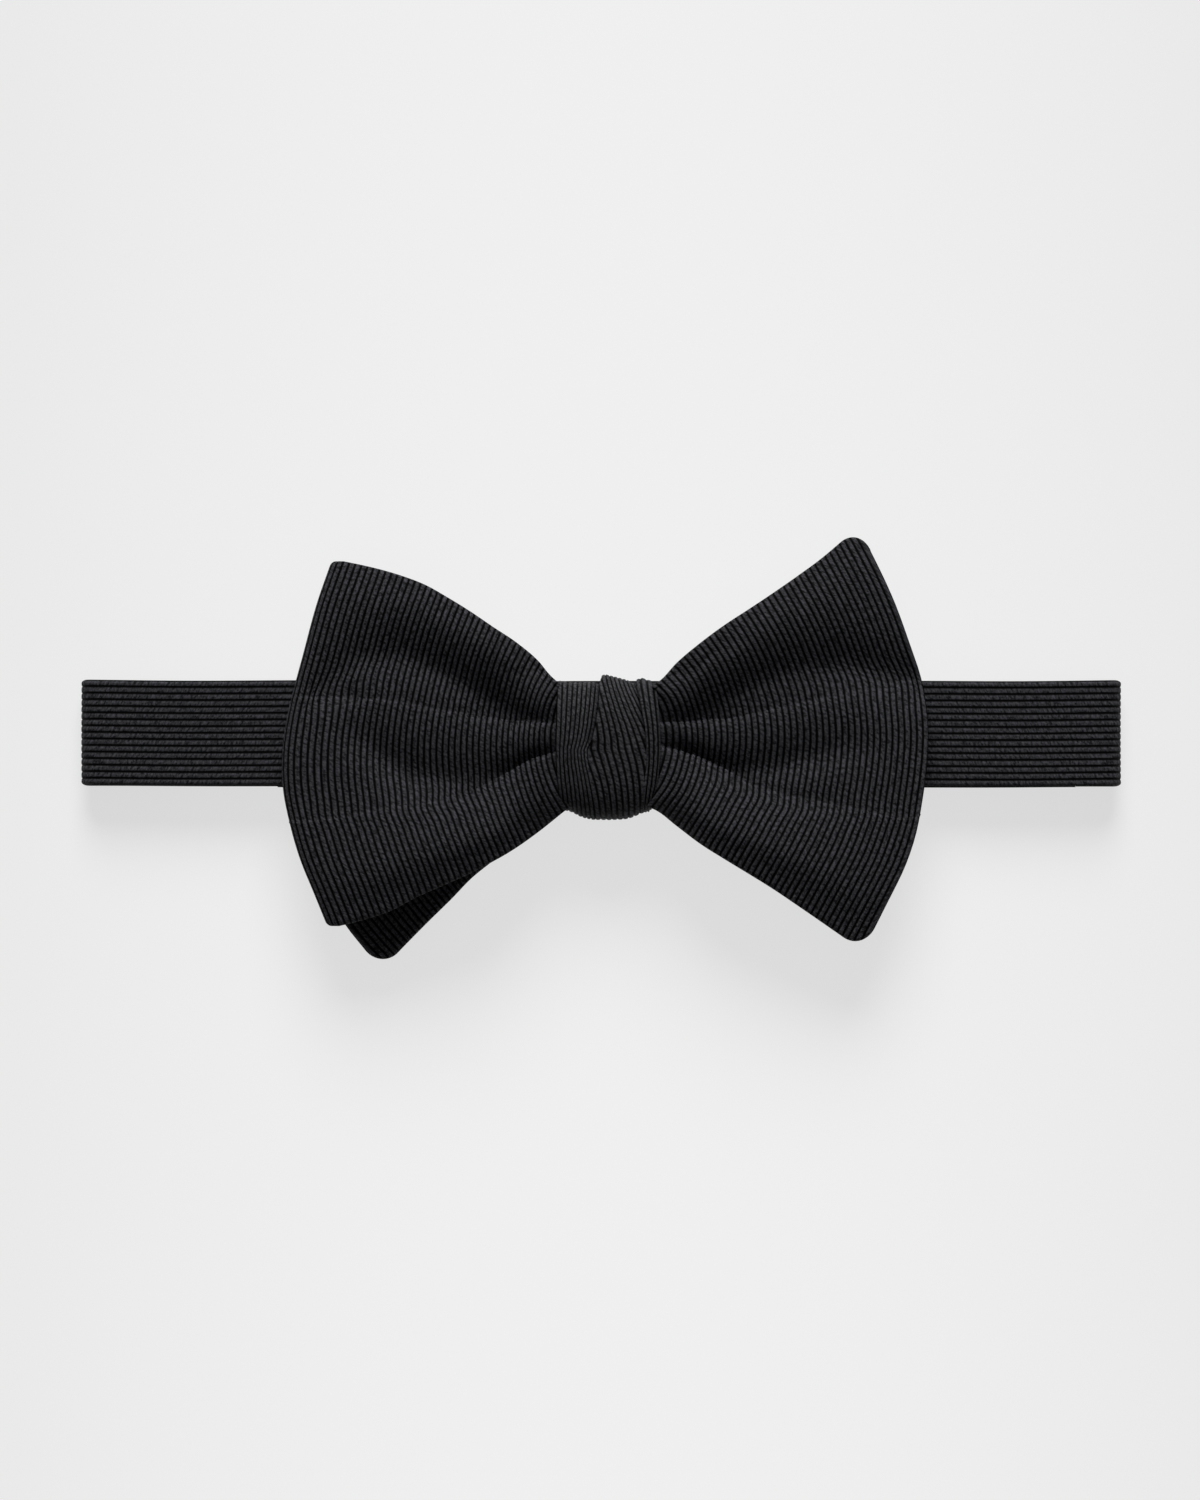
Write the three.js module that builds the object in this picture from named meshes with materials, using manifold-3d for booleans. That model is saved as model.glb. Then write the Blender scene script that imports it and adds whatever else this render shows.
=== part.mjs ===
// A black grosgrain bow tie with an adjustable neckband, closed flat and lying on its back.
// Millimetres. +X runs along the neckband to the wearer's left, +Y is up as worn, and +Z points out of the
// front of the bow. The origin is under the middle of the knot, on the surface that the tie lies on.

import * as THREE from "three";
import { mergeVertices } from "three/addons/utils/BufferGeometryUtils.js";
import Module from "manifold-3d";

const wasm = await Module();
wasm.setup();

// ---------------------------------------------------------------- driving dimensions

const FLAT_LEFT = 99.4; // from the knot to the outside of the left fold
const FLAT_RIGHT = 98.6; // and to the outside of the right one
const BAND_WIDTH = 20;
const BAND_THICK = 1.3; // two plies of silk and the interlining between them
const STRAP_THICK = 0.9; // where the band has no interlining, at its two ends
const LOOP_HEIGHT = 8.6; // from the surface to the top of the front run
const PLY = 0.45;
const BLADE_CORE = 0.5; // interlining of the bow
const BAND_CORE = 0.4; // interlining of the band
const GAP = 0.1; // between layers that lie on each other

const KNOT_LEFT = 9.1;
const KNOT_RIGHT = 10.7;
const KNOT_TOP = 10.4;
const KNOT_BOTTOM = -16.6;
const KNOT_BELOW = 4.2; // from the top of the front run down to the wrap's underside
const KNOT_ABOVE = 11.8; // and up to its front
const KNOT_THICK = 1.3; // ply and interlining of the wrap
const KNOT_MIDDLE = -3; // height up the band of the bow's middle line

const SETTING_MOUTH = 0.1; // clearance round a bar
const WIRE = 0.75; // radius of the hook's and the eye's wire
const RING_SLACK = 0.5; // between the strap's edge and a ring's side
const HOOK_X = -50; // the hook's bar, in the hem of the hook strap
const HOOK_REACH = 5.5; // from that bar to the hook's cross bar
const TONGUE_WIDTH = 8;
const TONGUE_THICK = 1.2;
const TONGUE_LENGTH = 6.5;
const TONGUE_MOUTH = 1.9;
const HEM_LENGTH = 12;
const EYE_X = -12.2; // the eye's bar, in the turn of the adjuster strap
const EYE_REACH = 9; // from that bar to the eye's far bar
const SLIDE_X = 30; // the slide's centre pin
const SLIDE_PITCH = 5.5; // from the centre pin to each outer bar
const SLIDE_BAR = 1.7;
const SLIDE_THICK = 1;
const PIN = 0.5; // radius of the centre pin

const foldMid = (LOOP_HEIGHT - BAND_THICK) / 2; // radius of the fold's middle line
const foldAxisZ = LOOP_HEIGHT / 2;
const leftFoldX = -(FLAT_LEFT - GAP - foldMid - BAND_THICK / 2);
const rightFoldX = FLAT_RIGHT - GAP - foldMid - BAND_THICK / 2;

// ---------------------------------------------------------------- materials

const cloth = (colour, roughness) =>
  new THREE.MeshStandardMaterial({ color: colour, roughness, metalness: 0 });
const silk = cloth(0x1d1d1f, 0.75);
const interlining = cloth(0xd8d4c8, 0.95);
const thread = cloth(0x161618, 0.6);
const satin = cloth(0x232326, 0.45);
const nickel = new THREE.MeshStandardMaterial({ color: 0xb9babd, roughness: 0.28, metalness: 1 });

const tie = new THREE.Group();

function add(name, geometry, material) {
  const mesh = new THREE.Mesh(geometry, material);
  mesh.name = name;
  tie.add(mesh);
  return mesh;
}

// ---------------------------------------------------------------- solids

// A closed geometry as a manifold-3d solid, and back.
function solidOf(geometry) {
  const bare = new THREE.BufferGeometry();
  bare.setAttribute("position", geometry.getAttribute("position").clone());
  if (geometry.index) bare.setIndex(geometry.index.clone());
  const merged = mergeVertices(bare, 1e-4);
  return new wasm.Manifold(
    new wasm.Mesh({
      numProp: 3,
      vertProperties: merged.attributes.position.array,
      triVerts: new Uint32Array(merged.index.array),
    }),
  );
}

function geometryOf(solid) {
  const mesh = solid.getMesh();
  const geometry = new THREE.BufferGeometry();
  geometry.setAttribute("position", new THREE.BufferAttribute(mesh.vertProperties, mesh.numProp));
  geometry.setIndex(new THREE.BufferAttribute(mesh.triVerts, 1));
  geometry.computeVertexNormals();
  return geometry;
}

// The volume that a list of triangles closes round, with its sign.
function signedVolume(points, faces) {
  const cross = new THREE.Vector3();
  return faces.reduce(
    (sum, [a, b, c]) => sum + points[a].dot(cross.crossVectors(points[b], points[c])) / 6,
    0,
  );
}

function closedGeometry(points, faces) {
  const outward = signedVolume(points, faces) > 0 ? faces : faces.map(([a, b, c]) => [a, c, b]);
  const geometry = new THREE.BufferGeometry().setFromPoints(points);
  geometry.setIndex(outward.flat());
  geometry.computeVertexNormals();
  return geometry;
}

// A sheet of cloth between two offsets of one surface. at(i, v, offset) gives a point at station i.
function sheet(at, stations, across, low, high) {
  const points = [];
  const faces = [];
  const row = across + 1;
  const half = stations * row;
  const quad = (a, b, c, d) => faces.push([a, b, c], [a, c, d]);
  for (const offset of [high, low])
    for (let i = 0; i < stations; i++)
      for (let j = 0; j <= across; j++) points.push(at(i, (2 * j) / across - 1, offset));
  for (let i = 0; i + 1 < stations; i++) {
    for (let j = 0; j < across; j++) {
      const k = i * row + j;
      quad(k, k + row, k + row + 1, k + 1);
      quad(half + k, half + k + 1, half + k + row + 1, half + k + row);
    }
    const near = i * row;
    const far = near + across;
    quad(near, half + near, half + near + row, near + row);
    quad(far, far + row, half + far + row, half + far);
  }
  const last = (stations - 1) * row;
  for (let j = 0; j < across; j++) {
    quad(j, j + 1, half + j + 1, half + j);
    quad(last + j, half + last + j, half + last + j + 1, last + j + 1);
  }
  return closedGeometry(points, faces);
}

// A sleeve of cloth round the X axis. at(i, turn, offset) gives a point at station i, turn from 0 to 1.
function sleeve(at, stations, around, low, high) {
  const points = [];
  const faces = [];
  const half = stations * around;
  const quad = (a, b, c, d) => faces.push([a, b, c], [a, c, d]);
  for (const offset of [high, low])
    for (let i = 0; i < stations; i++)
      for (let j = 0; j < around; j++) points.push(at(i, j / around, offset));
  for (let j = 0; j < around; j++) {
    const next = (j + 1) % around;
    for (let i = 0; i + 1 < stations; i++) {
      const k = i * around;
      quad(k + j, k + around + j, k + around + next, k + next);
      quad(half + k + j, half + k + next, half + k + around + next, half + k + around + j);
    }
    const last = (stations - 1) * around;
    quad(j, next, half + next, half + j);
    quad(last + j, half + last + j, half + last + next, last + next);
  }
  return closedGeometry(points, faces);
}

// A strap of the given width that follows a line of [x, z, thickness] through its middle.
function ribbon(line, width) {
  const at = (i, v, share) => {
    const [x, z, thick] = line[i];
    const [x0, z0] = line[Math.max(i - 1, 0)];
    const [x1, z1] = line[Math.min(i + 1, line.length - 1)];
    const off = (share * thick) / Math.hypot(x1 - x0, z1 - z0);
    return new THREE.Vector3(x - (z1 - z0) * off, (v * width) / 2, z + (x1 - x0) * off);
  };
  return sheet(at, line.length, 1, -0.5, 0.5);
}

// A plate of an XY outline, from one height to another.
function plate(outline, bottom, top) {
  const geometry = new THREE.ExtrudeGeometry(new THREE.Shape(outline), {
    depth: top - bottom,
    bevelEnabled: false,
  });
  return geometry.translate(0, 0, bottom);
}

// Points [x, z, thickness] on an arc, from one angle to another, counted from +X towards +Z.
function arc(x, z, radius, from, to, thick, steps) {
  return Array.from({ length: steps + 1 }, (_, i) => {
    const angle = from + ((to - from) * i) / steps;
    return [x + radius * Math.cos(angle), z + radius * Math.sin(angle), thick];
  });
}

const mix = THREE.MathUtils.lerp;

// Height at a distance from the knot, eased between [distance, height] pairs.
function level(pairs, distance) {
  for (let i = 1; i < pairs.length; i++) {
    const [x0, z0] = pairs[i - 1];
    const [x1, z1] = pairs[i];
    if (distance <= x1) return mix(z0, z1, THREE.MathUtils.smoothstep(distance, x0, x1));
  }
  return pairs.at(-1)[1];
}

// ---------------------------------------------------------------- the two blades of the bow

// Each blade is one strip of silk, lined and interlined. It starts inside the knot, goes out to its fold,
// comes back over itself, crosses the knot and ends in a free tip on the other side.

const WAIST = 9.3; // from the knot to where the blades spread, on the left
const WAIST_RIGHT = 11; // and on the right
const WAIST_TOP = 6.1;
const WAIST_BOTTOM = -12.3;
const TUCK = 5; // how far the blade's start reaches past the knot's middle
const SAG = 3; // how far the blade's long edges hang below its middle
const SAG_SPAN = 38;
const TIP_RADIUS = 3;
const TIP_HALF_WIDTH = 40;
const TIP_LENGTH = 52;

const vectors = (points) => new THREE.SplineCurve(points.map(([x, y]) => new THREE.Vector2(x, y)));

// Edges and middle line of the folded half and of the free tip, out from the knot.
const foldedHalf = {
  top: vectors([[WAIST, WAIST_TOP], [12.4, 12.8], [17.1, 17.2], [30.8, 25.7], [40, 29.7], [51.5, 32.4]]),
  middle: vectors([[WAIST, KNOT_MIDDLE], [60.4, -6]]),
  bottom: vectors([[WAIST, WAIST_BOTTOM], [13.3, -18.9], [23.7, -25.4], [37.2, -31.2], [51.9, -36.8]]),
  rounded: false,
};
const freeTip = {
  top: vectors([[WAIST, WAIST_TOP], [13.9, 12.9], [23, 20.4], [36.7, 29.4], [44.7, 36], [49.2, 39.8]]),
  middle: vectors([[WAIST, KNOT_MIDDLE], [61.8, -1]]),
  bottom: vectors([[WAIST, WAIST_BOTTOM], [13.9, -17.6], [23, -24], [36.7, -32.6], [49.3, -41.7]]),
  rounded: true,
};

// Heights of the blades' middle surface above the neckband's front run, out from the knot. The waist holds
// four layers.
const frontBlade = {
  foldSide: -1,
  folded: { half: foldedHalf, scale: 1, turn: 0 },
  tip: { half: freeTip, scale: 1, turn: 0 },
  back: [[0, 5.9], [WAIST, 5.9], [28, 4.6], [56, 4.1]],
  front: [[0, 8], [WAIST, 8], [28, 9.6], [56, 8.8]],
  end: [[0, 8], [WAIST, 8], [28, 8.6], [60, 6.8]],
};
const rearBlade = {
  foldSide: 1,
  folded: { half: foldedHalf, scale: 0.92, turn: 0 },
  tip: { half: freeTip, scale: 0.96, turn: THREE.MathUtils.degToRad(5.5) },
  back: [[0, 1.5], [WAIST, 1.5], [28, 1.7], [56, 1.6]],
  front: [[0, 3.7], [WAIST, 3.7], [28, 5], [56, 4.6]],
  end: [[0, 3.7], [WAIST, 3.7], [28, 2], [60, 1.5]],
};

const sagAt = (y) => SAG * ((y - KNOT_MIDDLE) / SAG_SPAN) ** 2;

// Share of the width that is left near the tip, where its corners are rounded.
function roundedShare(u) {
  const past = Math.max(0, u * TIP_LENGTH - (TIP_LENGTH - TIP_RADIUS));
  return (TIP_HALF_WIDTH - TIP_RADIUS + Math.sqrt(TIP_RADIUS ** 2 - past ** 2)) / TIP_HALF_WIDTH;
}

// Where a wing is in plan, u from 0 at the knot to 1 at its outer edge, v from -1 to 1 up its width.
function wingPoint({ half, scale, turn }, side, u, v) {
  const w = half.rounded ? v * roundedShare(u) : v;
  const top = half.top.getPointAt(u);
  const middle = half.middle.getPointAt(u);
  const bottom = half.bottom.getPointAt(u);
  const point = middle
    .clone()
    .addScaledVector(top.clone().sub(bottom), w / 2)
    .addScaledVector(top.clone().add(bottom).multiplyScalar(0.5).sub(middle), w * w);
  const spread = side > 0 ? WAIST_RIGHT : WAIST;
  point.x = side * (mix(spread, WAIST, u) + (point.x - WAIST) * scale);
  point.y = KNOT_MIDDLE + (point.y - KNOT_MIDDLE) * mix(1, scale, u);
  return point.rotateAround(new THREE.Vector2(0, KNOT_MIDDLE), turn * u);
}

const waistY = (v) => mix(WAIST_BOTTOM, WAIST_TOP, (v + 1) / 2);

// The stations of a blade from its start to its tip. Each gives a point for v and an offset to its face side.
function bladeStations(blade) {
  const side = blade.foldSide;
  const wingSteps = 7;
  const foldSteps = 5;
  const radius = (level(blade.front, 56) - level(blade.back, 56)) / 2;
  const flat = (x, y, heights, offset, facing) =>
    new THREE.Vector3(x, y, LOOP_HEIGHT + level(heights, Math.abs(x)) - sagAt(y) + facing * offset);
  const foldPoint = (u, v) => {
    const p = wingPoint(blade.folded, side, u, v);
    p.x -= side * radius * u;
    return p;
  };
  const stations = [];
  stations.push((v, o) => flat(-side * TUCK, waistY(v), blade.back, o, -1));
  for (let i = 0; i <= wingSteps; i++)
    stations.push((v, o) => {
      const p = foldPoint(i / wingSteps, v);
      return flat(p.x, p.y, blade.back, o, -1);
    });
  for (let i = 1; i < foldSteps; i++)
    stations.push((v, o) => {
      const p = foldPoint(1, v);
      const low = level(blade.back, Math.abs(p.x));
      const high = level(blade.front, Math.abs(p.x));
      const r = (high - low) / 2;
      const angle = (Math.PI * i) / foldSteps;
      const out = (radius + o) * Math.sin(angle);
      const up = (r + o) * Math.cos(angle);
      return new THREE.Vector3(p.x + side * out, p.y, LOOP_HEIGHT + (low + high) / 2 - up - sagAt(p.y));
    });
  for (let i = wingSteps; i >= 0; i--)
    stations.push((v, o) => {
      const p = foldPoint(i / wingSteps, v);
      return flat(p.x, p.y, blade.front, o, 1);
    });
  const tipSteps = [0, 1, 2, 3, 4, 5, 6, 6.6, 6.9, 7];
  for (const step of tipSteps)
    stations.push((v, o) => {
      const p = wingPoint(blade.tip, -side, step / 7, v);
      return flat(p.x, p.y, blade.end, o, 1);
    });
  return stations;
}

function addBlade(name, blade) {
  const stations = bladeStations(blade);
  const at = (i, v, offset) => stations[i](v, offset);
  const across = 6;
  const core = BLADE_CORE / 2;
  const inner = core + GAP;
  const outer = inner + PLY;
  add(`${name}_face`, sheet(at, stations.length, across, inner, outer), silk);
  add(`${name}_interlining`, sheet(at, stations.length, across, -core, core), interlining);
  add(`${name}_lining`, sheet(at, stations.length, across, -outer, -inner), silk);
}

addBlade("front_blade", frontBlade);
addBlade("rear_blade", rearBlade);

// ---------------------------------------------------------------- the knot

// A lined wrap that goes once round both blades and the neckband and is sewn shut behind.

const knotStations = [-1, -0.55, 0, 0.55, 1];
const knotAround = 28;
const KNOT_SQUARENESS = 4; // 2 is an ellipse, and more is squarer
const KNOT_BARREL = 0.5; // how much the wrap draws in at its two sides

function knotPoint(i, turn, offset) {
  const across = knotStations[i];
  const angle = turn * 2 * Math.PI;
  const draw = KNOT_BARREL * across ** 2;
  const round = (value) => Math.sign(value) * Math.abs(value) ** (2 / KNOT_SQUARENESS);
  const halfY = (KNOT_TOP - KNOT_BOTTOM) / 2 - draw + offset;
  const halfZ = (KNOT_ABOVE + KNOT_BELOW) / 2 - draw + offset;
  return new THREE.Vector3(
    across < 0 ? across * KNOT_LEFT : across * KNOT_RIGHT,
    (KNOT_TOP + KNOT_BOTTOM) / 2 + halfY * round(Math.cos(angle)),
    LOOP_HEIGHT + (KNOT_ABOVE - KNOT_BELOW) / 2 + halfZ * round(Math.sin(angle)),
  );
}

const wrapSkin = PLY;
add("knot_wrap", sleeve(knotPoint, knotStations.length, knotAround, -wrapSkin, 0), silk);
add(
  "knot_wrap_interlining",
  sleeve(knotPoint, knotStations.length, knotAround, -KNOT_THICK, -wrapSkin - GAP),
  interlining,
);

// The slip stitches that close the wrap, a raised row across its back.
const STITCH_HEIGHT = 0.5;
add(
  "knot_stitching",
  new THREE.BoxGeometry(1, 14, STITCH_HEIGHT).translate(
    3,
    KNOT_MIDDLE,
    LOOP_HEIGHT - KNOT_BELOW - GAP - STITCH_HEIGHT / 2,
  ),
  thread,
);

// ---------------------------------------------------------------- the neckband's front run

// The band is drawn in where it passes through the knot.

const frontLow = LOOP_HEIGHT - BAND_THICK;
const TAPER_FROM = 17;
const TAPER_TO = 10.9;
const NECK_TOP = 6.2;
const NECK_BOTTOM = -9.6;

// The run's outline, from the left fold to the right one, drawn in by an inset on every side.
function runOutline(inset) {
  const half = BAND_WIDTH / 2 - inset;
  const top = NECK_TOP - inset;
  const bottom = NECK_BOTTOM + inset;
  const left = leftFoldX + inset;
  const right = rightFoldX - inset;
  return [
    [left, -half],
    [-TAPER_FROM, -half],
    [-TAPER_TO, bottom],
    [TAPER_TO, bottom],
    [TAPER_FROM, -half],
    [right, -half],
    [right, half],
    [TAPER_FROM, half],
    [TAPER_TO, top],
    [-TAPER_TO, top],
    [-TAPER_FROM, half],
    [left, half],
  ].map(([x, y]) => new THREE.Vector2(x, y));
}

// The two plies are one tube of silk, open at the folds, with the interlining inside it.
const bandCoreLow = frontLow + (BAND_THICK - BAND_CORE) / 2;
const bandHollow = runOutline(PLY);
for (const corner of bandHollow) {
  if (corner.x < leftFoldX + 2 * PLY) corner.x = leftFoldX - 1;
  if (corner.x > rightFoldX - 2 * PLY) corner.x = rightFoldX + 1;
}
const bandShell = solidOf(plate(runOutline(0), frontLow, LOOP_HEIGHT)).subtract(
  solidOf(plate(bandHollow, bandCoreLow - 0.02, bandCoreLow + BAND_CORE + 0.02)),
);
add("neckband_front_run", geometryOf(bandShell), silk);
add(
  "neckband_interlining",
  plate(runOutline(PLY + GAP), bandCoreLow, bandCoreLow + BAND_CORE),
  interlining,
);

// The soft folds where the band turns under itself at its two ends.
const FOLD_STEPS = 12;
const foldLine = (x, from, to) => arc(x, foldAxisZ, foldMid, from, to, BAND_THICK, FOLD_STEPS);
const leftFoldLine = foldLine(leftFoldX - GAP, Math.PI / 2, 1.5 * Math.PI);
const rightFoldLine = foldLine(rightFoldX + GAP, Math.PI / 2, -Math.PI / 2);
add("left_fold", ribbon(leftFoldLine, BAND_WIDTH), silk);
add("right_fold", ribbon(rightFoldLine, BAND_WIDTH), silk);

// ---------------------------------------------------------------- hook strap, behind the bow on the left

const barMid = WIRE + SETTING_MOUTH + STRAP_THICK / 2; // the strap's middle line round a bar
const barZ = barMid + STRAP_THICK / 2;
const strapMid = STRAP_THICK / 2;
const doubledMid = STRAP_THICK * 1.5 + GAP;

const hookStrapLine = [
  [leftFoldX, BAND_THICK / 2, BAND_THICK],
  [HOOK_X - HEM_LENGTH - 6, BAND_THICK / 2, BAND_THICK],
  [HOOK_X - HEM_LENGTH - 2, strapMid, STRAP_THICK],
  ...arc(HOOK_X, barZ, barMid, -Math.PI / 2, Math.PI / 2, STRAP_THICK, 8),
  [HOOK_X - 2.5, barZ + barMid * 0.72, STRAP_THICK],
  [HOOK_X - 5.5, doubledMid + 0.15, STRAP_THICK],
  [HOOK_X - HEM_LENGTH, doubledMid, STRAP_THICK],
];
add("hook_strap_rear_run", ribbon(hookStrapLine, BAND_WIDTH), silk);
add(
  "hook_hem_stitching",
  new THREE.BoxGeometry(1.2, BAND_WIDTH - 3, 0.4).translate(
    HOOK_X - HEM_LENGTH + 2,
    0,
    doubledMid + strapMid + GAP + 0.2,
  ),
  thread,
);

// A plain woven size tab on the side of the strap that faces the neck.
const TAB_LENGTH = 26;
const TAB_WIDTH = 12;
const TAB_THICK = 0.3;
add(
  "size_tab",
  new THREE.BoxGeometry(TAB_LENGTH, TAB_WIDTH, TAB_THICK).translate(
    HOOK_X - HEM_LENGTH - 4 - TAB_LENGTH / 2,
    0,
    BAND_THICK + GAP + TAB_THICK / 2,
  ),
  satin,
);

// A ring of wire round a strap, with one bar at x and the other at the far end of its reach.
const ringHalfWidth = BAND_WIDTH / 2 + RING_SLACK + WIRE;
const RING_CORNER = 1.1;

function wireRing(x, reach, z) {
  const near = Math.min(x, x + reach);
  const far = Math.max(x, x + reach);
  const path = new THREE.CurvePath();
  const corner = (cx, cy, sx, sy) => new THREE.Vector3(cx - sx * RING_CORNER, cy - sy * RING_CORNER, z);
  const corners = [
    [near, -ringHalfWidth, -1, -1],
    [far, -ringHalfWidth, 1, -1],
    [far, ringHalfWidth, 1, 1],
    [near, ringHalfWidth, -1, 1],
  ];
  const bend = (x0, y0, sx, sy, from) => {
    const centre = corner(x0, y0, sx, sy);
    return [0, 0.5, 1].map((t) => {
      const angle = from + (t * Math.PI) / 2;
      const radius = RING_CORNER;
      return new THREE.Vector3(centre.x + radius * Math.cos(angle), centre.y + radius * Math.sin(angle), z);
    });
  };
  const points = corners.flatMap(([cx, cy, sx, sy], i) => bend(cx, cy, sx, sy, Math.PI + (i * Math.PI) / 2));
  points.forEach((p, i) => path.add(new THREE.LineCurve3(p, points[(i + 1) % points.length])));
  return ringTube(points);
}

// A closed tube through the given points, mitred at each.
function ringTube(points) {
  const sides = 10;
  const count = points.length;
  const vertices = [];
  const faces = [];
  points.forEach((p, i) => {
    const before = points[(i + count - 1) % count];
    const after = points[(i + 1) % count];
    const into = p.clone().sub(before).normalize();
    const out = after.clone().sub(p).normalize();
    const along = into.clone().add(out).normalize();
    const sideways = new THREE.Vector3(along.y, -along.x, 0).divideScalar(along.dot(into));
    for (let j = 0; j < sides; j++) {
      const angle = (2 * Math.PI * j) / sides;
      vertices.push(
        p
          .clone()
          .addScaledVector(sideways, WIRE * Math.cos(angle))
          .add(new THREE.Vector3(0, 0, WIRE * Math.sin(angle))),
      );
      const next = ((i + 1) % count) * sides;
      const a = i * sides + j;
      const b = i * sides + ((j + 1) % sides);
      const c = next + ((j + 1) % sides);
      const d = next + j;
      faces.push([a, b, c], [a, c, d]);
    }
  });
  return closedGeometry(vertices, faces);
}

// The hook: a ring with a flat tongue that bends back over itself to catch the eye.
const tongueZ = barZ - WIRE + TONGUE_THICK / 2;
const tongueBend = (TONGUE_MOUTH + TONGUE_THICK) / 2;
const crossX = HOOK_X + HOOK_REACH;
const tongueEnd = crossX + TONGUE_LENGTH;
const tongueLine = [
  [crossX, tongueZ, TONGUE_THICK],
  ...arc(tongueEnd, tongueZ + tongueBend, tongueBend, -Math.PI / 2, Math.PI / 2, TONGUE_THICK, 8),
  [tongueEnd - 3, tongueZ + 2 * tongueBend, TONGUE_THICK],
  [tongueEnd - 4.6, tongueZ + 2 * tongueBend + 0.2, TONGUE_THICK * 0.7],
];
const hook = solidOf(wireRing(HOOK_X, HOOK_REACH, barZ)).add(solidOf(ribbon(tongueLine, TONGUE_WIDTH)));
add("hook", geometryOf(hook), nickel);

// ---------------------------------------------------------------- adjuster strap, behind the bow on the right

const SLIDE_LEAD = 11.8; // from the pin to where the strap lies flat again
const slideZ = STRAP_THICK * 2 + GAP * 2 + PIN;
const overBar = slideZ + SLIDE_THICK / 2 + GAP + STRAP_THICK / 2;
const overStrap = overBar + STRAP_THICK + GAP;
const overEdge = SLIDE_BAR / 2 + 0.35;
const underPin = 0.5;
const WEAVE_RISE = 5; // from a bar to where the strap lies flat
const HEM_LEAD = 0.8; // how much sooner the layer on top of it starts to rise
const hemMid = PIN + GAP + STRAP_THICK / 2;
const runEnd = SLIDE_X - SLIDE_LEAD - 1.2;
const turnStart = EYE_X + 6.5;

const rearRunLine = [
  [rightFoldX, BAND_THICK / 2, BAND_THICK],
  [SLIDE_X + SLIDE_LEAD + 42, BAND_THICK / 2, BAND_THICK],
  [SLIDE_X + SLIDE_LEAD + 38, strapMid, STRAP_THICK],
  [SLIDE_X + SLIDE_LEAD + GAP, strapMid, STRAP_THICK],
];
add("adjuster_strap_rear_run", ribbon(rearRunLine, BAND_WIDTH), silk);

// The strap weaves over the slide's first bar, under its pin and over its last bar.
const weaveLevels = [
  [runEnd, strapMid],
  [SLIDE_X - SLIDE_PITCH - WEAVE_RISE, strapMid],
  [SLIDE_X - SLIDE_PITCH - overEdge, overBar],
  [SLIDE_X - SLIDE_PITCH + overEdge, overBar],
  [SLIDE_X - underPin, strapMid],
  [SLIDE_X + underPin, strapMid],
  [SLIDE_X + SLIDE_PITCH - overEdge, overBar],
  [SLIDE_X + SLIDE_PITCH + overEdge, overBar],
  [SLIDE_X + SLIDE_PITCH + WEAVE_RISE, strapMid],
  [SLIDE_X + SLIDE_LEAD, strapMid],
];
const WEAVE_STEPS = 40;
const weaveLine = Array.from({ length: WEAVE_STEPS + 1 }, (_, i) => {
  const x = mix(runEnd, SLIDE_X + SLIDE_LEAD, i / WEAVE_STEPS);
  return [x, level(weaveLevels, x), STRAP_THICK];
});
add("adjuster_strap_weave", ribbon(weaveLine, BAND_WIDTH), silk);

// The strap's end lies on the weave as far as the last bar, and is sewn round the pin.
const hemLevels = [
  [runEnd, doubledMid],
  [SLIDE_X - SLIDE_PITCH - WEAVE_RISE - HEM_LEAD, doubledMid],
  [SLIDE_X - SLIDE_PITCH - overEdge - HEM_LEAD, overStrap],
  [SLIDE_X - SLIDE_PITCH + overEdge + HEM_LEAD / 2, overStrap],
];
const HEM_STEPS = 18;
const hemLine = Array.from({ length: HEM_STEPS + 1 }, (_, i) => {
  const x = mix(runEnd, hemLevels.at(-1)[0], i / HEM_STEPS);
  return [x, level(hemLevels, x), STRAP_THICK];
});
const tailLine = [
  ...hemLine,
  [SLIDE_X - 1.6, slideZ + hemMid + 0.3, STRAP_THICK],
  ...arc(SLIDE_X, slideZ, hemMid, Math.PI / 2, -Math.PI / 2, STRAP_THICK, 8),
];
add("adjuster_strap_hem", ribbon(tailLine, BAND_WIDTH), silk);

// The two runs between the slide and the eye, and the turn round the eye's bar.
const straight = (x0, x1, z) => ribbon([[x0, z, STRAP_THICK], [x1, z, STRAP_THICK]], BAND_WIDTH);
add("adjuster_strap_lower_run", straight(runEnd - GAP, turnStart + GAP, strapMid), silk);
add("adjuster_strap_upper_run", straight(runEnd - GAP, turnStart + GAP, doubledMid), silk);
const turnLine = [
  [turnStart, strapMid, STRAP_THICK],
  ...arc(EYE_X, barZ, barMid, 1.5 * Math.PI, Math.PI / 2, STRAP_THICK, 8),
  [EYE_X + 2.5, barZ + barMid * 0.72, STRAP_THICK],
  [EYE_X + 5, doubledMid + 0.15, STRAP_THICK],
  [turnStart, doubledMid, STRAP_THICK],
];
add("adjuster_strap_turn", ribbon(turnLine, BAND_WIDTH), silk);
add("eye", wireRing(EYE_X, -EYE_REACH, barZ), nickel);

// The slide: a stamped frame with two slots, and a round pin that the strap's end is sewn to.
const slotHalf = BAND_WIDTH / 2 + RING_SLACK;
const FRAME_SIDE = 1.8;

function rectangle(halfX, halfY, corner) {
  const shape = new THREE.Shape();
  shape.moveTo(halfX, -halfY + corner);
  shape.absarc(halfX - corner, halfY - corner, corner, 0, Math.PI / 2);
  shape.absarc(-halfX + corner, halfY - corner, corner, Math.PI / 2, Math.PI);
  shape.absarc(-halfX + corner, -halfY + corner, corner, Math.PI, 1.5 * Math.PI);
  shape.absarc(halfX - corner, -halfY + corner, corner, 1.5 * Math.PI, 2 * Math.PI);
  return shape;
}

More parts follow.
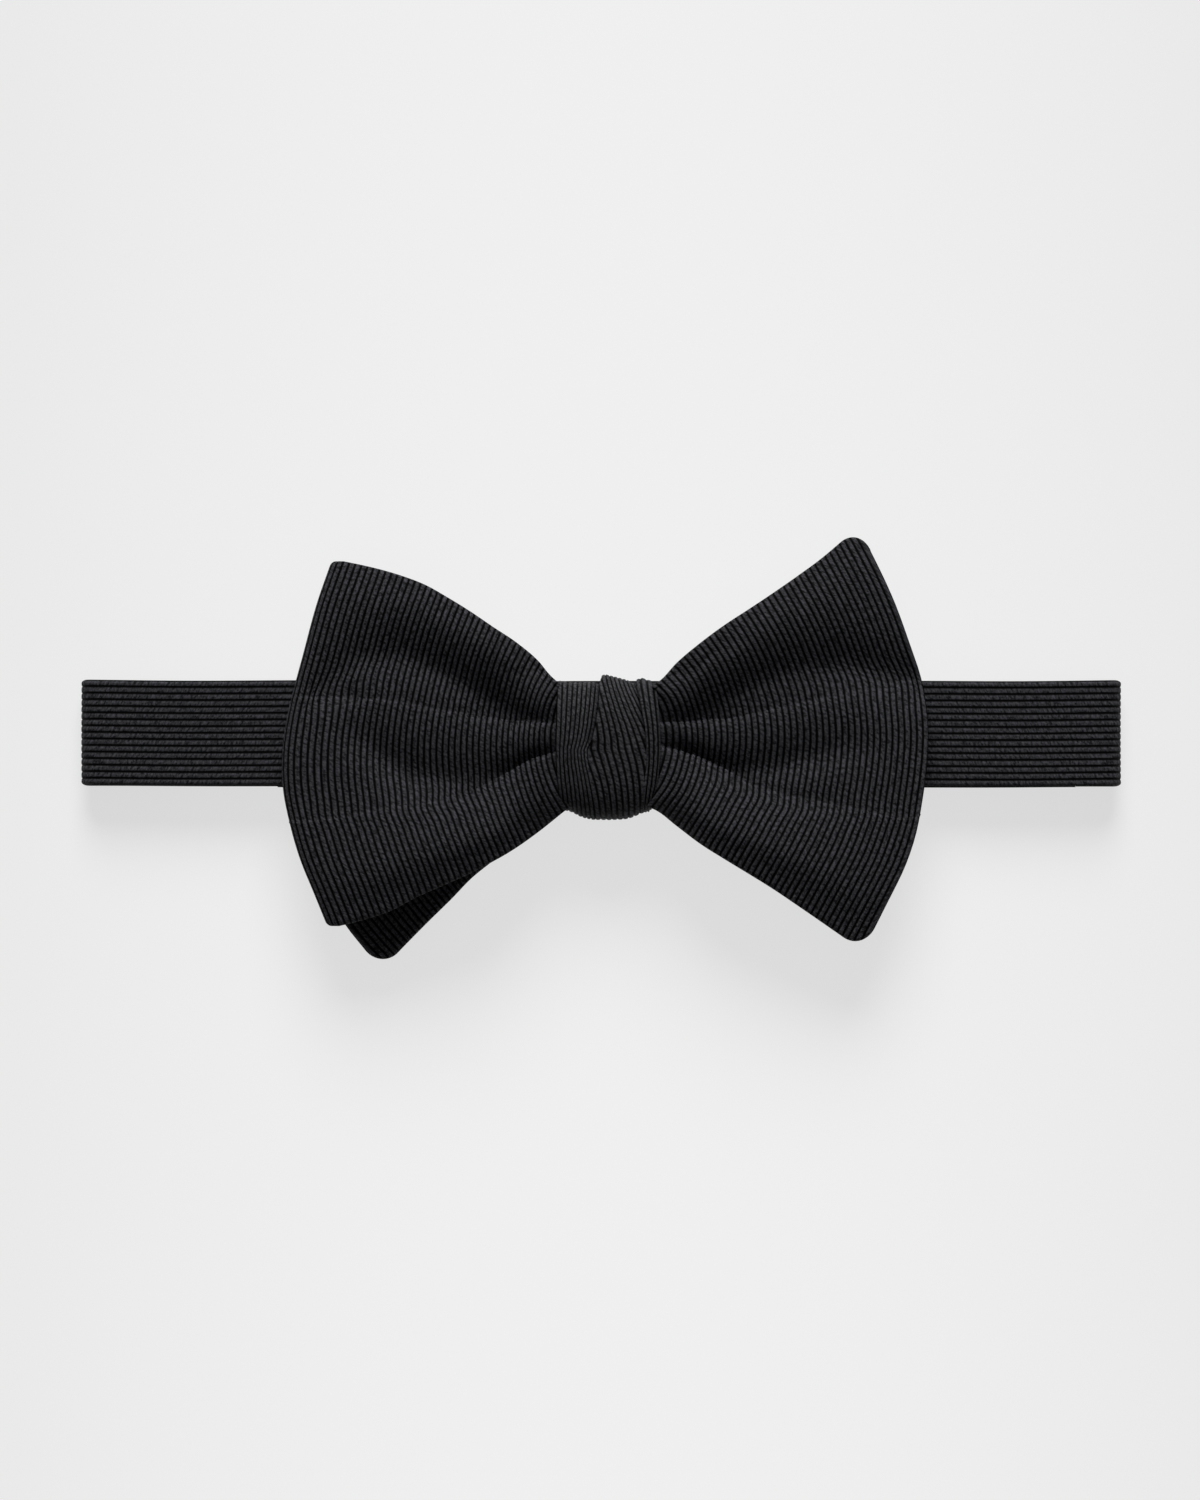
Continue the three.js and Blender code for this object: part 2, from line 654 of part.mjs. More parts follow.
const frameOutline = rectangle(SLIDE_PITCH + SLIDE_BAR / 2, slotHalf + FRAME_SIDE, 1.5);
frameOutline.holes.push(new THREE.Path(rectangle(SLIDE_PITCH - SLIDE_BAR / 2, slotHalf, 0.4).getPoints(3)));
const frame = new THREE.ExtrudeGeometry(frameOutline, {
  depth: SLIDE_THICK,
  bevelEnabled: false,
  curveSegments: 3,
});
add("slide_frame", frame.translate(SLIDE_X, 0, slideZ - SLIDE_THICK / 2), nickel);
add(
  "slide_pin",
  new THREE.CylinderGeometry(PIN, PIN, 2 * (slotHalf - GAP), 12).translate(SLIDE_X, 0, slideZ),
  nickel,
);

export default tie;
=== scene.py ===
"""A black grosgrain bow tie on its folded neckband, lying on a pale surface and seen from straight above.

Lengths in the sections are in millimetres, and each mesh is made in metres.
"""

import math

import bpy
import numpy as np
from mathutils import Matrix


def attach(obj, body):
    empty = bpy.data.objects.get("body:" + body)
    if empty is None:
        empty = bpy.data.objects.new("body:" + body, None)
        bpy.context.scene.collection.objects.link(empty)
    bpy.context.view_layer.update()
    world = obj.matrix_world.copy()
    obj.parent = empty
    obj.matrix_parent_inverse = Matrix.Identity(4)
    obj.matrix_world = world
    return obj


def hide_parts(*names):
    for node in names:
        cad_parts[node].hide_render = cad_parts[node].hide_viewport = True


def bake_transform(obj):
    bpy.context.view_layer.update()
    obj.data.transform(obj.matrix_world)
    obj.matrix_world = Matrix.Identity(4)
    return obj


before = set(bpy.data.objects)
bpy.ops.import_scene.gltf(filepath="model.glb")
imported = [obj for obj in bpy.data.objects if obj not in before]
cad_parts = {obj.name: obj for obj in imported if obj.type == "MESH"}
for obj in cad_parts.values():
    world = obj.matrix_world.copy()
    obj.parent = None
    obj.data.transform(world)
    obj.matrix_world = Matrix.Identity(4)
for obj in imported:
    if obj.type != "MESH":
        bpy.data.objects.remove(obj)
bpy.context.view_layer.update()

# ---------------------------------------------------------------------------------------------------------
# Front blade. One strip of heavy grosgrain, sewn to its lining along both edges and turned right side out.
# It runs out of the knot behind, folds over on the left, comes back across the front, goes through the knot
# and ends in a free tip with rounded corners on the right. The knot gathers it into two deep pleats.

MM = 0.001
BOW_RIB = 1.2  # from one rib to the next
RIB_DEPTH = 0.36
PLY_HALF = 0.8  # half the thickness of face, interlining and lining together
PLY_PRESSED = 0.5  # the same in the knot
LINING_SHARE = 0.2  # depth of the lining's ribs beside that of the face
EDGE_ROUND = 0.9  # how far in from a sewn edge the two plies close on each other
KNOT_MIDDLE = -3.0
BAND_TOP = 8.6
WING_LENGTH = 52.0
KNOT_CROSSING = 19.0
FOLD_RIBS = 6
SAG = 3.0  # how far the long edges hang below the middle
SAG_SPAN = 38.0
PLEAT_HEIGHT = 3.9  # of the pleats beside the knot
PLEAT_REACH = 0.42  # share of the wing by which they have died down
LIP_DROP, LIP_ROUND = 0.42, 0.32  # how far a pleat's lip turns down, as a share of it, and over what width
TUCK_IN = 0.34  # how far the cloth runs in under a lip, as a share of the pleat
TIP_CORNER = 4.5
FURROW_GAIN = 1.6  # over the depths given below

# The outlines run out from the knot (bottom, top) and up (inner, outer).
front_fold = {
    "side": -1,
    "inner": [(-4.8, -12.9), (-7.0, -9.2), (-8.3, -5.4), (-8.8, -2.0), (-8.5, 1.8), (-7.4, 5.2), (-5.6, 7.8)],
    "outer": [(-52.4, -36.7), (-54.9, -30.5), (-57.6, -23.8), (-59.5, -17.2), (-60.8, -10.4), (-60.9, -4.0),
              (-60.0, 3.0), (-58.4, 9.6), (-57.2, 14.0), (-54.2, 25.0), (-51.6, 32.5)],
    "bottom": [(-4.8, -12.9), (-8.0, -15.3), (-13.2, -19.2), (-17.9, -22.3), (-23.7, -25.4), (-26.8, -26.9),
               (-32.0, -29.1), (-37.2, -31.3), (-42.4, -33.9), (-48.2, -35.7), (-52.4, -36.7)],
    "top": [(-5.6, 7.8), (-8.9, 9.7), (-10.3, 10.9), (-12.5, 13.4), (-17.1, 17.1), (-21.7, 20.0),
            (-26.2, 22.9), (-30.8, 25.6), (-35.3, 28.0), (-39.9, 29.7), (-44.5, 31.0), (-49.0, 32.0),
            (-51.6, 32.5)],
    "crease_low": [(0, -0.08), (0.1, -0.14), (0.2, -0.26), (0.33, -0.37), (0.5, -0.42), (1, -0.42)],
    "crease_high": [(0, 0.41), (0.1, 0.34), (0.2, 0.27), (0.35, 0.26), (0.5, 0.25), (1, 0.25)],
    # [(distance out, height up the band, depth), ...], width above, width below
    "furrows": [
        ([(9, 2.2, 0.0), (13, 2.8, 0.5), (22, 6.4, 1.5), (30, 11.2, 1.7), (38.5, 14.6, 1.6), (47, 13.8, 1.3),
          (54, 8.5, 0.8), (60, 3, 0.2)], 6.0, 4.2),
        ([(9, -4, 0.0), (18, -7.0, 0.6), (27, -9.0, 1.2), (35, -8.4, 1.6), (40, -6.2, 1.6), (45, -2.6, 1.1),
          (51, 0, 0.2)], 5.5, 4.0),
        ([(43, 5.5, 0.0), (48, 7.0, 0.6), (53, 6.4, 0.4), (57, 5, 0.0)], 2.5, 2.0),
    ],
    # [(distance out, height up the band, sideways shift of the ribs), ...], width
    "shifts": [
        ([(14, -8.5, 0.0), (24, -11.0, 0.5), (32, -14.0, 0.7), (42, -15.5, 0.4), (52, -16, 0.3)], 2.2),
        ([(34, 12.0, 0.0), (44, 11.0, 0.5), (53, 7.0, 0.7), (60, 4, 0.4)], 3.0),
    ],
    "rise_top": 3.4,
    "rise_bottom": 3.8,
}
front_tip = {
    "side": 1,
    "inner": [(5.6, -13.2), (8.4, -9.4), (10.0, -5.4), (10.6, -2.0), (10.2, 2.0), (8.9, 5.4), (6.8, 7.6)],
    "outer": [(49.3, -41.4), (51.5, -37.1), (53.0, -34.2), (54.5, -31.3), (57.5, -25.0), (59.2, -20.0),
              (60.6, -13.0), (61.5, -6.0), (61.8, 0.5), (61.3, 6.0), (60.2, 11.2), (58.3, 16.6), (56.8, 21.0),
              (55.3, 24.9), (53.4, 29.2), (51.3, 33.5), (48.4, 39.1)],
    "bottom": [(5.6, -13.2), (10.1, -14.8), (13.9, -17.7), (18.4, -21.1), (23.0, -24.0), (27.6, -26.8),
               (32.1, -29.6), (36.7, -32.7), (41.2, -35.8), (45.8, -39.0), (49.3, -41.4)],
    "top": [(6.8, 7.6), (10.8, 9.9), (13.9, 13.2), (18.4, 17.0), (23.0, 20.4), (27.6, 23.4), (32.1, 26.4),
            (36.7, 29.6), (41.2, 32.9), (45.0, 36.1), (48.4, 39.1)],
    "crease_low": [(0, 0.05), (0.1, -0.1), (0.22, -0.21), (0.38, -0.35), (0.5, -0.38), (1, -0.38)],
    "crease_high": [(0, 0.42), (0.12, 0.31), (0.26, 0.24), (0.4, 0.25), (0.55, 0.27), (1, 0.27)],
    "furrows": [
        ([(10, 2.8, 0.0), (15, 3.8, 0.6), (22, 5.6, 1.2), (30, 9.6, 1.4), (38, 12.0, 1.5), (46, 12.6, 1.8),
          (54, 11.0, 1.8), (61, 9.0, 1.6)], 5.5, 5.0),
        ([(10, -2.4, 0.0), (17, -4.8, 0.7), (25, -7.0, 1.3), (33, -6.6, 1.5), (40, -4.6, 1.4),
          (46, -3.4, 1.0), (54, -3, 0.2)], 5.0, 3.6),
        ([(24, -12, 0.0), (33, -12.2, 0.6), (42, -13.4, 0.6), (50, -14, 0.0)], 3.2, 2.6),
        ([(12, 9.0, 0.0), (17, 12.0, 0.45), (24, 16.6, 0.45), (31, 20.5, 0.0)], 2.0, 1.6),
    ],
    "shifts": [
        ([(16, -7.0, 0.0), (26, -11.5, 0.5), (34, -14.0, 0.6), (44, -15.5, 0.3), (56, -16, 0.2)], 2.2),
        ([(30, 8.0, 0.0), (42, 10.5, 0.4), (52, 10.0, 0.6), (61, 8.5, 0.5)], 3.0),
    ],
    "rise_top": 3.8,
    "rise_bottom": 3.8,
}

EDGE_ROWS = [0, 0.06, 0.2, 0.42, 0.7]
LOWER_ROWS = np.r_[np.linspace(0, 0.86, 22), 0.92, 0.96, 0.985, 1.0]
CENTRE_ROWS = np.r_[0, 0.03, 0.07, np.linspace(0.13, 0.87, 14), 0.93, 0.965, 1.0]
UPPER_ROWS = np.r_[0, 0.02, 0.045, np.linspace(0.09, 1, 24)]
LINING_ROWS = np.r_[-0.985, -0.96, np.linspace(-0.92, 0.92, 34), 0.96, 0.985]


def through(points, share):
    """Points at shares of the length of a smooth line through the given ones."""
    p = np.array(points, float)
    share = np.clip(np.asarray(share, float), 0, 1)
    d = np.r_[0, np.cumsum(np.hypot(*np.diff(p, axis=0).T))]
    d /= d[-1]
    slope = np.gradient(p, d, axis=0)
    i = np.clip(np.searchsorted(d, share, side="right") - 1, 0, len(d) - 2)
    span = d[i + 1] - d[i]
    t = ((share - d[i]) / span)[..., None]
    span = span[..., None]
    return (
        (2 * t**3 - 3 * t**2 + 1) * p[i]
        + (t**3 - 2 * t**2 + t) * span * slope[i]
        + (3 * t**2 - 2 * t**3) * p[i + 1]
        + (t**3 - t**2) * span * slope[i + 1]
    )


def patch(wing, s, v):
    """Where a wing is in plan: s from 0 at the knot to 1 at its outer edge, v from -1 to 1 up its width."""
    t = (v + 1) / 2
    inner, outer = through(wing["inner"], t), through(wing["outer"], t)
    low, high = through(wing["bottom"], s), through(wing["top"], s)
    s, t = s[..., None], t[..., None]
    i0, i1 = np.array(wing["inner"][0]), np.array(wing["inner"][-1])
    o0, o1 = np.array(wing["outer"][0]), np.array(wing["outer"][-1])
    corners = (1 - s) * (1 - t) * i0 + s * (1 - t) * o0 + (1 - s) * t * i1 + s * t * o1
    return (1 - s) * inner + s * outer + (1 - t) * low + t * high - corners


def smooth(x, low, high):
    t = np.clip((np.asarray(x, float) - low) / (high - low), 0, 1)
    return t * t * (3 - 2 * t)


def level(pairs, distance):
    """Height at a distance from the knot, eased between [distance, height] pairs."""
    pairs = np.array(pairs, float)
    i = np.clip(np.searchsorted(pairs[:, 0], distance, side="right") - 1, 0, len(pairs) - 2)
    x0, z0, x1, z1 = pairs[i, 0], pairs[i, 1], pairs[i + 1, 0], pairs[i + 1, 1]
    return z0 + (z1 - z0) * smooth((distance - x0) / np.maximum(x1 - x0, 1e-9), 0, 1)


def half_width(s):
    return 12.4 + 23.4 * np.asarray(s) ** 0.92


def face_rows(wing, s):
    """Rows across a wing: their v, how far each is tucked under in y, and the height of the pleats there."""
    half = half_width(s)
    low, high = (np.interp(s, *np.array(wing[k]).T) for k in ("crease_low", "crease_high"))
    start, end = -1 + EDGE_ROUND / half, 1 - EDGE_ROUND / half
    pleat = PLEAT_HEIGHT * np.exp(-((s / PLEAT_REACH) ** 1.7)) * (0.4 + 0.6 * smooth(s, -0.01, 0.09))
    v, tuck, lift = [], [], []

    def row(at, tucked, height):
        v.append(at)
        tuck.append(tucked)
        lift.append(height)

    def crest(gap):
        return 1 - LIP_DROP * np.exp(-gap / LIP_ROUND)

    for d in EDGE_ROWS:
        row(-1 + d / half, 0 * s, pleat)
    for g in LOWER_ROWS:
        at = start + (low - start) * g
        row(at, 0 * s, pleat * crest((low - at) * half))
    row(low, -0.22 * pleat, 0.3 * pleat)
    row(low, -TUCK_IN * pleat, 0.04 * pleat)
    for g in CENTRE_ROWS:
        at = low + (high - low) * g
        up = (at - low) * half
        row(at, -0.3 * pleat * np.exp(-up / 0.5), pleat * (1 - np.exp(-up / 2.2)) * crest((high - at) * half))
    row(high, -0.22 * pleat, 0.3 * pleat)
    row(high, -TUCK_IN * pleat, 0.04 * pleat)
    for g in UPPER_ROWS:
        at = high + (end - high) * g
        up = (at - high) * half
        row(at, -0.3 * pleat * np.exp(-up / 0.5), 1.1 * pleat * (1 - np.exp(-up / 3.4)))
    for d in EDGE_ROWS[::-1]:
        row(1 - d / half, 0 * s, 1.1 * pleat)
    return np.stack(v, 1), np.stack(tuck, 1), np.stack(lift, 1)


def billow(wing, s, v, x, y):
    """Height of a wing's soft lobes and furrows."""
    swell = np.sin(np.pi * np.clip(s / 1.12, 0, 1)) ** 0.9
    top = smooth(v, 0.22, 0.95) * (1 - 0.3 * smooth(v, 0.8, 1.0))
    bottom = smooth(-v, 0.2, 0.85) * (1 - 0.45 * smooth(-v, 0.75, 1.0))
    height = swell * (wing["rise_top"] * top + wing["rise_bottom"] * bottom)
    for line, above, below in wing["furrows"]:
        out, up, depth = np.array(line, float).T
        gap = y - np.interp(np.abs(x), out, up)
        width = np.where(gap > 0, above, below)
        depth = FURROW_GAIN * np.interp(np.abs(x), out, depth, 0, depth[-1])
        height = height - depth * np.exp(-np.abs(gap / width) ** 1.6)
    return height


def wing_stations(wing, s, run, reach, rounded=False):
    """The middle of a wing's cloth at each s, and half its thickness there, which is 0 at a sewn edge."""
    heights, share, wrap_pull = run
    v, tuck, lift = face_rows(wing, s)
    half = half_width(s)[:, None]
    spread = np.broadcast_to(s[:, None], v.shape)
    fit = v
    if rounded:
        past = np.clip(s * WING_LENGTH - (WING_LENGTH - TIP_CORNER), 0, TIP_CORNER)[:, None]
        fit = v * (40 - TIP_CORNER + np.sqrt(TIP_CORNER**2 - past**2)) / 40
    plan = patch(wing, spread, fit)
    x, y = plan[..., 0] - reach * spread, plan[..., 1] + tuck
    for line, width in wing["shifts"]:
        out, up, shift = np.array(line, float).T
        gap = plan[..., 1] - np.interp(np.abs(x), out, up)
        fade = smooth(1 - spread, 0, 0.06)
        x = x + wing["side"] * np.interp(np.abs(x), out, shift) * np.exp(-((gap / width) ** 2)) * fade
    edge = np.clip((1 - np.abs(v)) * half / EDGE_ROUND, 0, 1)
    if rounded:
        edge = np.minimum(edge, np.clip(((1 - s[:, None]) * WING_LENGTH + 0.03) / EDGE_ROUND, 0, 1))
    rise = share * (lift + billow(wing, spread, v, x, y))
    # The wrap draws the long edges down, and presses the plies together.
    drawn = wrap_pull * (1 - smooth(np.abs(x), 9, 21)) * np.minimum(np.abs(y - KNOT_MIDDLE) / 12, 1.2) ** 2
    z = BAND_TOP + level(heights, np.abs(x)) + rise - drawn - SAG * ((y - KNOT_MIDDLE) / SAG_SPAN) ** 2
    ply = PLY_PRESSED + (PLY_HALF - PLY_PRESSED) * smooth(np.abs(x), 8, 17)
    return {"v": v, "x": x, "y": y, "z": z, "full": ply * np.sqrt(1 - (1 - edge) ** 2), "along": v * half}


def rib_stations(ribs, samples, first=0):
    """Shares along a run of whole ribs, closer together in the grooves, and the rib count at each."""
    steps = {1: [0], 2: [0, 0.5], 5: [0, 0.14, 0.38, 0.62, 0.86]}[samples]
    count = (np.arange(ribs)[:, None] + np.array(steps)).ravel()
    return count / ribs, count + first


def blade_stations(blade, samples):
    """Stations of a whole blade: behind, round its fold, in front, through the knot and out to its tip."""
    fold, tip = blade["fold"], blade["tip"]
    side = fold["side"]
    back, front, end = blade["runs"]
    radius = (level(front[0], 56.0) - level(back[0], 56.0)) / 2
    reach = side * (radius + PLY_HALF)
    ribs, knot_ribs = round(WING_LENGTH / BOW_RIB), round(KNOT_CROSSING / BOW_RIB)
    s_back, n_back = rib_stations(ribs, min(samples, 2))
    s_fold, n_fold = rib_stations(FOLD_RIBS, samples, ribs)
    s_front, n_front = rib_stations(ribs, samples, ribs + FOLD_RIBS)
    s_knot, n_knot = rib_stations(knot_ribs, min(samples, 2), 2 * ribs + FOLD_RIBS)
    s_tip, n_tip = rib_stations(ribs, samples, 2 * ribs + FOLD_RIBS + knot_ribs)
    last = 1 - np.array(EDGE_ROWS[::-1]) / WING_LENGTH
    keep = s_tip < last[0] - 0.002
    s_tip, n_tip = np.r_[s_tip[keep], last], np.r_[n_tip[keep], n_tip[0] + last * ribs]

    b = wing_stations(fold, s_back, back, reach)
    f = wing_stations(fold, 1 - s_front, front, reach)
    t = wing_stations(tip, s_tip, end, 0, rounded=True)
    b["out"], f["out"], t["out"] = (0, 0, -1), (0, 0, 1), (0, 0, 1)

    e0 = wing_stations(fold, np.ones(1), back, reach)
    e1 = wing_stations(fold, np.ones(1), front, reach)
    turn = (s_fold * np.pi)[:, None]
    w = (1 - np.cos(turn)) / 2
    bend = {k: e0[k] * (1 - w) + e1[k] * w for k in e0}
    bend["x"] = bend["x"] + side * radius * np.sin(turn)
    bend["z"] = (e0["z"] + e1["z"]) / 2 - (e1["z"] - e0["z"]) / 2 * np.cos(turn)
    bend["out"] = (side * np.sin(turn), 0, -np.cos(turn))

    f_end = wing_stations(fold, np.zeros(1), front, reach)
    t_start = wing_stations(tip, np.zeros(1), end, 0)
    g = s_knot[:, None]
    inside = {k: f_end[k] * (1 - g) + t_start[k] * g for k in f_end}
    inside["y"] = KNOT_MIDDLE + (inside["y"] - KNOT_MIDDLE) * (1 - 0.12 * np.sin(np.pi * g))
    inside["out"] = (0, 0, 1)

    runs = [b, bend, f, inside, t]
    rows = b["v"].shape[1]
    joined = {k: np.concatenate([np.broadcast_to(r[k], (r["x"].shape[0], rows)) for r in runs])
              for k in ("v", "x", "y", "z", "full", "along")}
    out = [np.stack([np.broadcast_to(c, (r["x"].shape[0], rows)) for c in r["out"]], -1) for r in runs]
    return {
        "middle": np.stack([joined["x"], joined["y"], joined["z"]], -1),
        "out": np.concatenate(out), "full": joined["full"], "v": joined["v"], "along": joined["along"],
        "rib": np.r_[n_back, n_fold, n_front, n_knot, n_tip],
        "flat": np.r_[-np.ones(len(s_back)), np.zeros(len(s_fold)),
                      np.ones(len(s_front) + len(s_knot) + len(s_tip))],
    }


def skin(name, rings, rib, along, share, closed=False):
    """A closed mesh through rings of points. Its "cloth" map holds the rib count and the millimetres along a
    rib, and its "rib" and "rib_share" attributes say where grooves go and how deep they are."""
    count, ring = rings.shape[:2]
    i = np.arange(count if closed else count - 1)[:, None]
    j = np.arange(ring)[None]
    corners = [(i, j), (i + 1, j), (i + 1, (j + 1) % ring), (i, (j + 1) % ring)]
    quads = np.stack([np.broadcast_to((a % count) * ring + b, (len(i), ring)) for a, b in corners], -1)
    polygons = quads.reshape(-1, 4).tolist()
    rib, along = (np.broadcast_to(a, (count + closed, ring)) for a in (rib, along))
    uv = np.stack([np.stack([rib[a, b], along[a, b]], -1) for a, b in corners], -2).reshape(-1, 2)
    if not closed:
        first, last = np.arange(ring), np.arange(ring)[::-1] + (count - 1) * ring
        polygons += [first.tolist(), last.tolist()]
        flat_uv = np.stack([rib.ravel(), along.ravel()], -1)
        uv = np.concatenate([uv, flat_uv[first], flat_uv[last]])
    mesh = bpy.data.meshes.new(name)
    mesh.from_pydata((rings.reshape(-1, 3) * MM).tolist(), [], polygons)
    for label, values in (("rib", rib[:count]), ("rib_share", np.broadcast_to(share, (count, ring)))):
        values = np.ascontiguousarray(values, np.float32).ravel()
        mesh.attributes.new(label, "FLOAT", "POINT").data.foreach_set("value", values)
    mesh.uv_layers.new(name="cloth").data.foreach_set("uv", uv.astype(np.float32).ravel())
    piece = bpy.data.objects.new(name, mesh)
    bpy.context.collection.objects.link(piece)
    mesh.calc_loop_triangles()
    tri = np.array([t.vertices for t in mesh.loop_triangles])
    a, b, c = (rings.reshape(-1, 3)[tri[:, k]] for k in range(3))
    if np.einsum("ij,ij->i", a, np.cross(b, c)).sum() < 0:
        mesh.flip_normals()
    mesh.polygons.foreach_set("use_smooth", [True] * len(mesh.polygons))
    mesh.update()
    return piece


def lining_of(st, rows):
    """The underside of a blade at rows across it, its place along the ribs, and the way to its face."""
    below = st["middle"] - st["out"] * st["full"][..., None]
    plain = np.concatenate([below, st["out"], st["along"][..., None]], -1)
    under = np.empty((len(plain), len(rows), plain.shape[2]))
    for i, v in enumerate(st["v"]):
        steps = v + np.arange(len(v)) * 1e-9
        for k in range(plain.shape[2]):
            under[i, :, k] = np.interp(rows, steps, plain[i, :, k])
    # It spans the pleats that the face is folded into.
    way = st["flat"][:, None]
    height = under[..., 2] * way
    calm = height.copy()
    for _ in range(3):
        calm[:, 1:-1] = np.minimum(np.minimum(calm[:, :-2], calm[:, 1:-1]), calm[:, 2:])
    for _ in range(4):
        calm[:, 1:-1] = (calm[:, :-2] + 2 * calm[:, 1:-1] + calm[:, 2:]) / 4
    under[..., 2] = np.where(way == 0, under[..., 2], np.minimum(calm, height) * way)
    return under[..., :3], under[..., 6], under[..., 3:6]


def sewn_blade(name, blade, samples):
    """A blade's face and lining, closed on each other along their seams."""
    st = blade_stations(blade, samples)
    face = st["middle"] + st["out"] * st["full"][..., None]
    lining, lining_along, _ = lining_of(st, LINING_ROWS)
    tucked = np.zeros(face.shape[1])
    first = len(EDGE_ROWS) + len(LOWER_ROWS)
    for r in (first, first + 2 + len(CENTRE_ROWS)):
        tucked[r:r + 2] = 0.8
    rings = np.concatenate([face, lining[:, ::-1]], 1)
    along = np.concatenate([st["along"], lining_along[:, ::-1]], 1)
    depth = np.minimum(st["full"] / PLY_PRESSED, 1) * (1 - tucked)
    share = np.concatenate([depth, np.full(lining_along.shape, LINING_SHARE)], 1)
    return skin(name, rings, st["rib"][:, None], along, share)


def add(tree, kind, inputs=None, **settings):
    """Adds a node with its settings, and sets or links its inputs."""
    made = tree.nodes.new(kind)
    for key, value in settings.items():
        setattr(made, key, value)
    for key, value in (inputs or {}).items():
        if isinstance(value, bpy.types.NodeSocket):
            tree.links.new(value, made.inputs[key])
        else:
            made.inputs[key].default_value = value
    return made


def colour(code):
    """An sRGB hex value as linear RGBA."""
    channels = [int(code[i:i + 2], 16) / 255 for i in (0, 2, 4)]
    return [c / 12.92 if c <= 0.04045 else ((c + 0.055) / 1.055) ** 2.4 for c in channels] + [1.0]


def empty_material(name):
    """A material whose tree has no nodes yet, and the tree."""
    material = bpy.data.materials.new(name)
    material.use_nodes = True
    material.node_tree.nodes.clear()
    return material, material.node_tree


def grosgrain(name, crest, groove, thread, bunches=2.1, roughness=0.6):
    """Grosgrain silk: fine warp threads lie over a thick weft. The eye sees soft grey ribs whose threads
    give a broken, beaded shine, and grooves that are nearly black. The beaded shine is a painted highlight,
    a lighter thread colour mixed into the crest colour, and the near black of the grooves is painted shade
    in the base colour."""
    material, tree = empty_material(name)
    cloth = add(tree, "ShaderNodeUVMap", uv_map="cloth").outputs[0]
    split = add(tree, "ShaderNodeSeparateXYZ", {0: cloth}).outputs
    across = add(tree, "ShaderNodeMath", {0: split[0]}, operation="FRACT").outputs[0]
    from_crest = add(tree, "ShaderNodeMath", {0: across, 1: 0.5}, operation="SUBTRACT").outputs[0]
    distance = add(tree, "ShaderNodeMath", {0: from_crest}, operation="ABSOLUTE").outputs[0]
    # A mask that rises towards each groove, for the painted shade there.
    depth = add(tree, "ShaderNodeMapRange", {0: distance, 1: 0.19, 2: 0.42, 3: 0.0, 4: 1.0},
                interpolation_type="SMOOTHSTEP").outputs[0]
    # The warp threads, 0.12 mm apart, show in bunches of about four that lean a little along the rib. Their
    # pattern goes into the bump and the roughness as relief, and into the colour as a painted highlight.
    lean = add(tree, "ShaderNodeMath", {0: split[0], 1: 0.55, 2: split[1]},
               operation="MULTIPLY_ADD").outputs[0]
    bunch = add(tree, "ShaderNodeMath", {0: lean, 1: bunches}, operation="MULTIPLY").outputs[0]
    wide = add(tree, "ShaderNodeMath", {0: split[0], 1: 1.3}, operation="MULTIPLY").outputs[0]
    place = add(tree, "ShaderNodeCombineXYZ", {0: wide, 1: bunch}).outputs[0]
    bead = add(tree, "ShaderNodeTexNoise", {"Vector": place, "Scale": 1.0, "Detail": 2.0, "Roughness": 0.6},
               noise_dimensions="2D").outputs[0]
    fine_place = add(tree, "ShaderNodeVectorMath", {0: place, 1: (3.1, 3.7, 1.0)},
                     operation="MULTIPLY").outputs[0]
    fine = add(tree, "ShaderNodeTexNoise", {"Vector": fine_place, "Scale": 1.0, "Detail": 1.0},
               noise_dimensions="2D").outputs[0]
    shine = add(tree, "ShaderNodeMath", {0: bead, 1: 0.65}, operation="MULTIPLY").outputs[0]
    relief_and_sheen = add(tree, "ShaderNodeMath", {0: fine, 1: 0.35, 2: shine}, operation="MULTIPLY_ADD").outputs[0]
    bright = add(tree, "ShaderNodeMapRange", {0: relief_and_sheen, 1: 0.36, 2: 0.68, 3: 0.0, 4: 1.0}).outputs[0]
    # Painted highlight: the lighter thread colour stands in for the shine of the thread bunches.
    lit = add(tree, "ShaderNodeMix", {"Factor": bright, 6: colour(crest), 7: colour(thread)},
              data_type="RGBA").outputs[2]
    # Painted shade: in each groove the colour darkens to the nearly black groove colour.
    shade = add(tree, "ShaderNodeMix", {"Factor": depth, 6: lit, 7: colour(groove)},
                data_type="RGBA").outputs[2]
    rough = add(tree, "ShaderNodeMapRange", {0: bright, 3: roughness + 0.12, 4: roughness - 0.08}).outputs[0]
    dent = add(tree, "ShaderNodeBump", {"Height": relief_and_sheen, "Strength": 0.6, "Distance": 0.00015}).outputs[0]
    shader = add(tree, "ShaderNodeBsdfPrincipled", {
        "Base Color": shade, "Roughness": rough, "Normal": dent, "Specular IOR Level": 0.04})
    add(tree, "ShaderNodeOutputMaterial", {0: shader.outputs[0]})
    return material


def new_tree(name, *inputs):
    """An empty Geometry Nodes tree with named inputs, and its input node's outputs."""
    tree = bpy.data.node_groups.new(name, "GeometryNodeTree")
    tree.interface.new_socket("Geometry", in_out="INPUT", socket_type="NodeSocketGeometry")
    for label, kind in inputs:
        tree.interface.new_socket(label, in_out="INPUT", socket_type="NodeSocket" + kind)
    tree.interface.new_socket("Geometry", in_out="OUTPUT", socket_type="NodeSocketGeometry")
    return tree, add(tree, "NodeGroupInput").outputs


def finish_tree(tree, geometry, material):
    real = add(tree, "GeometryNodeRealizeInstances", {0: geometry}).outputs[0]
    done = add(tree, "GeometryNodeSetMaterial", {"Geometry": real, "Material": material}).outputs[0]
    add(tree, "NodeGroupOutput", {0: done})
    return tree


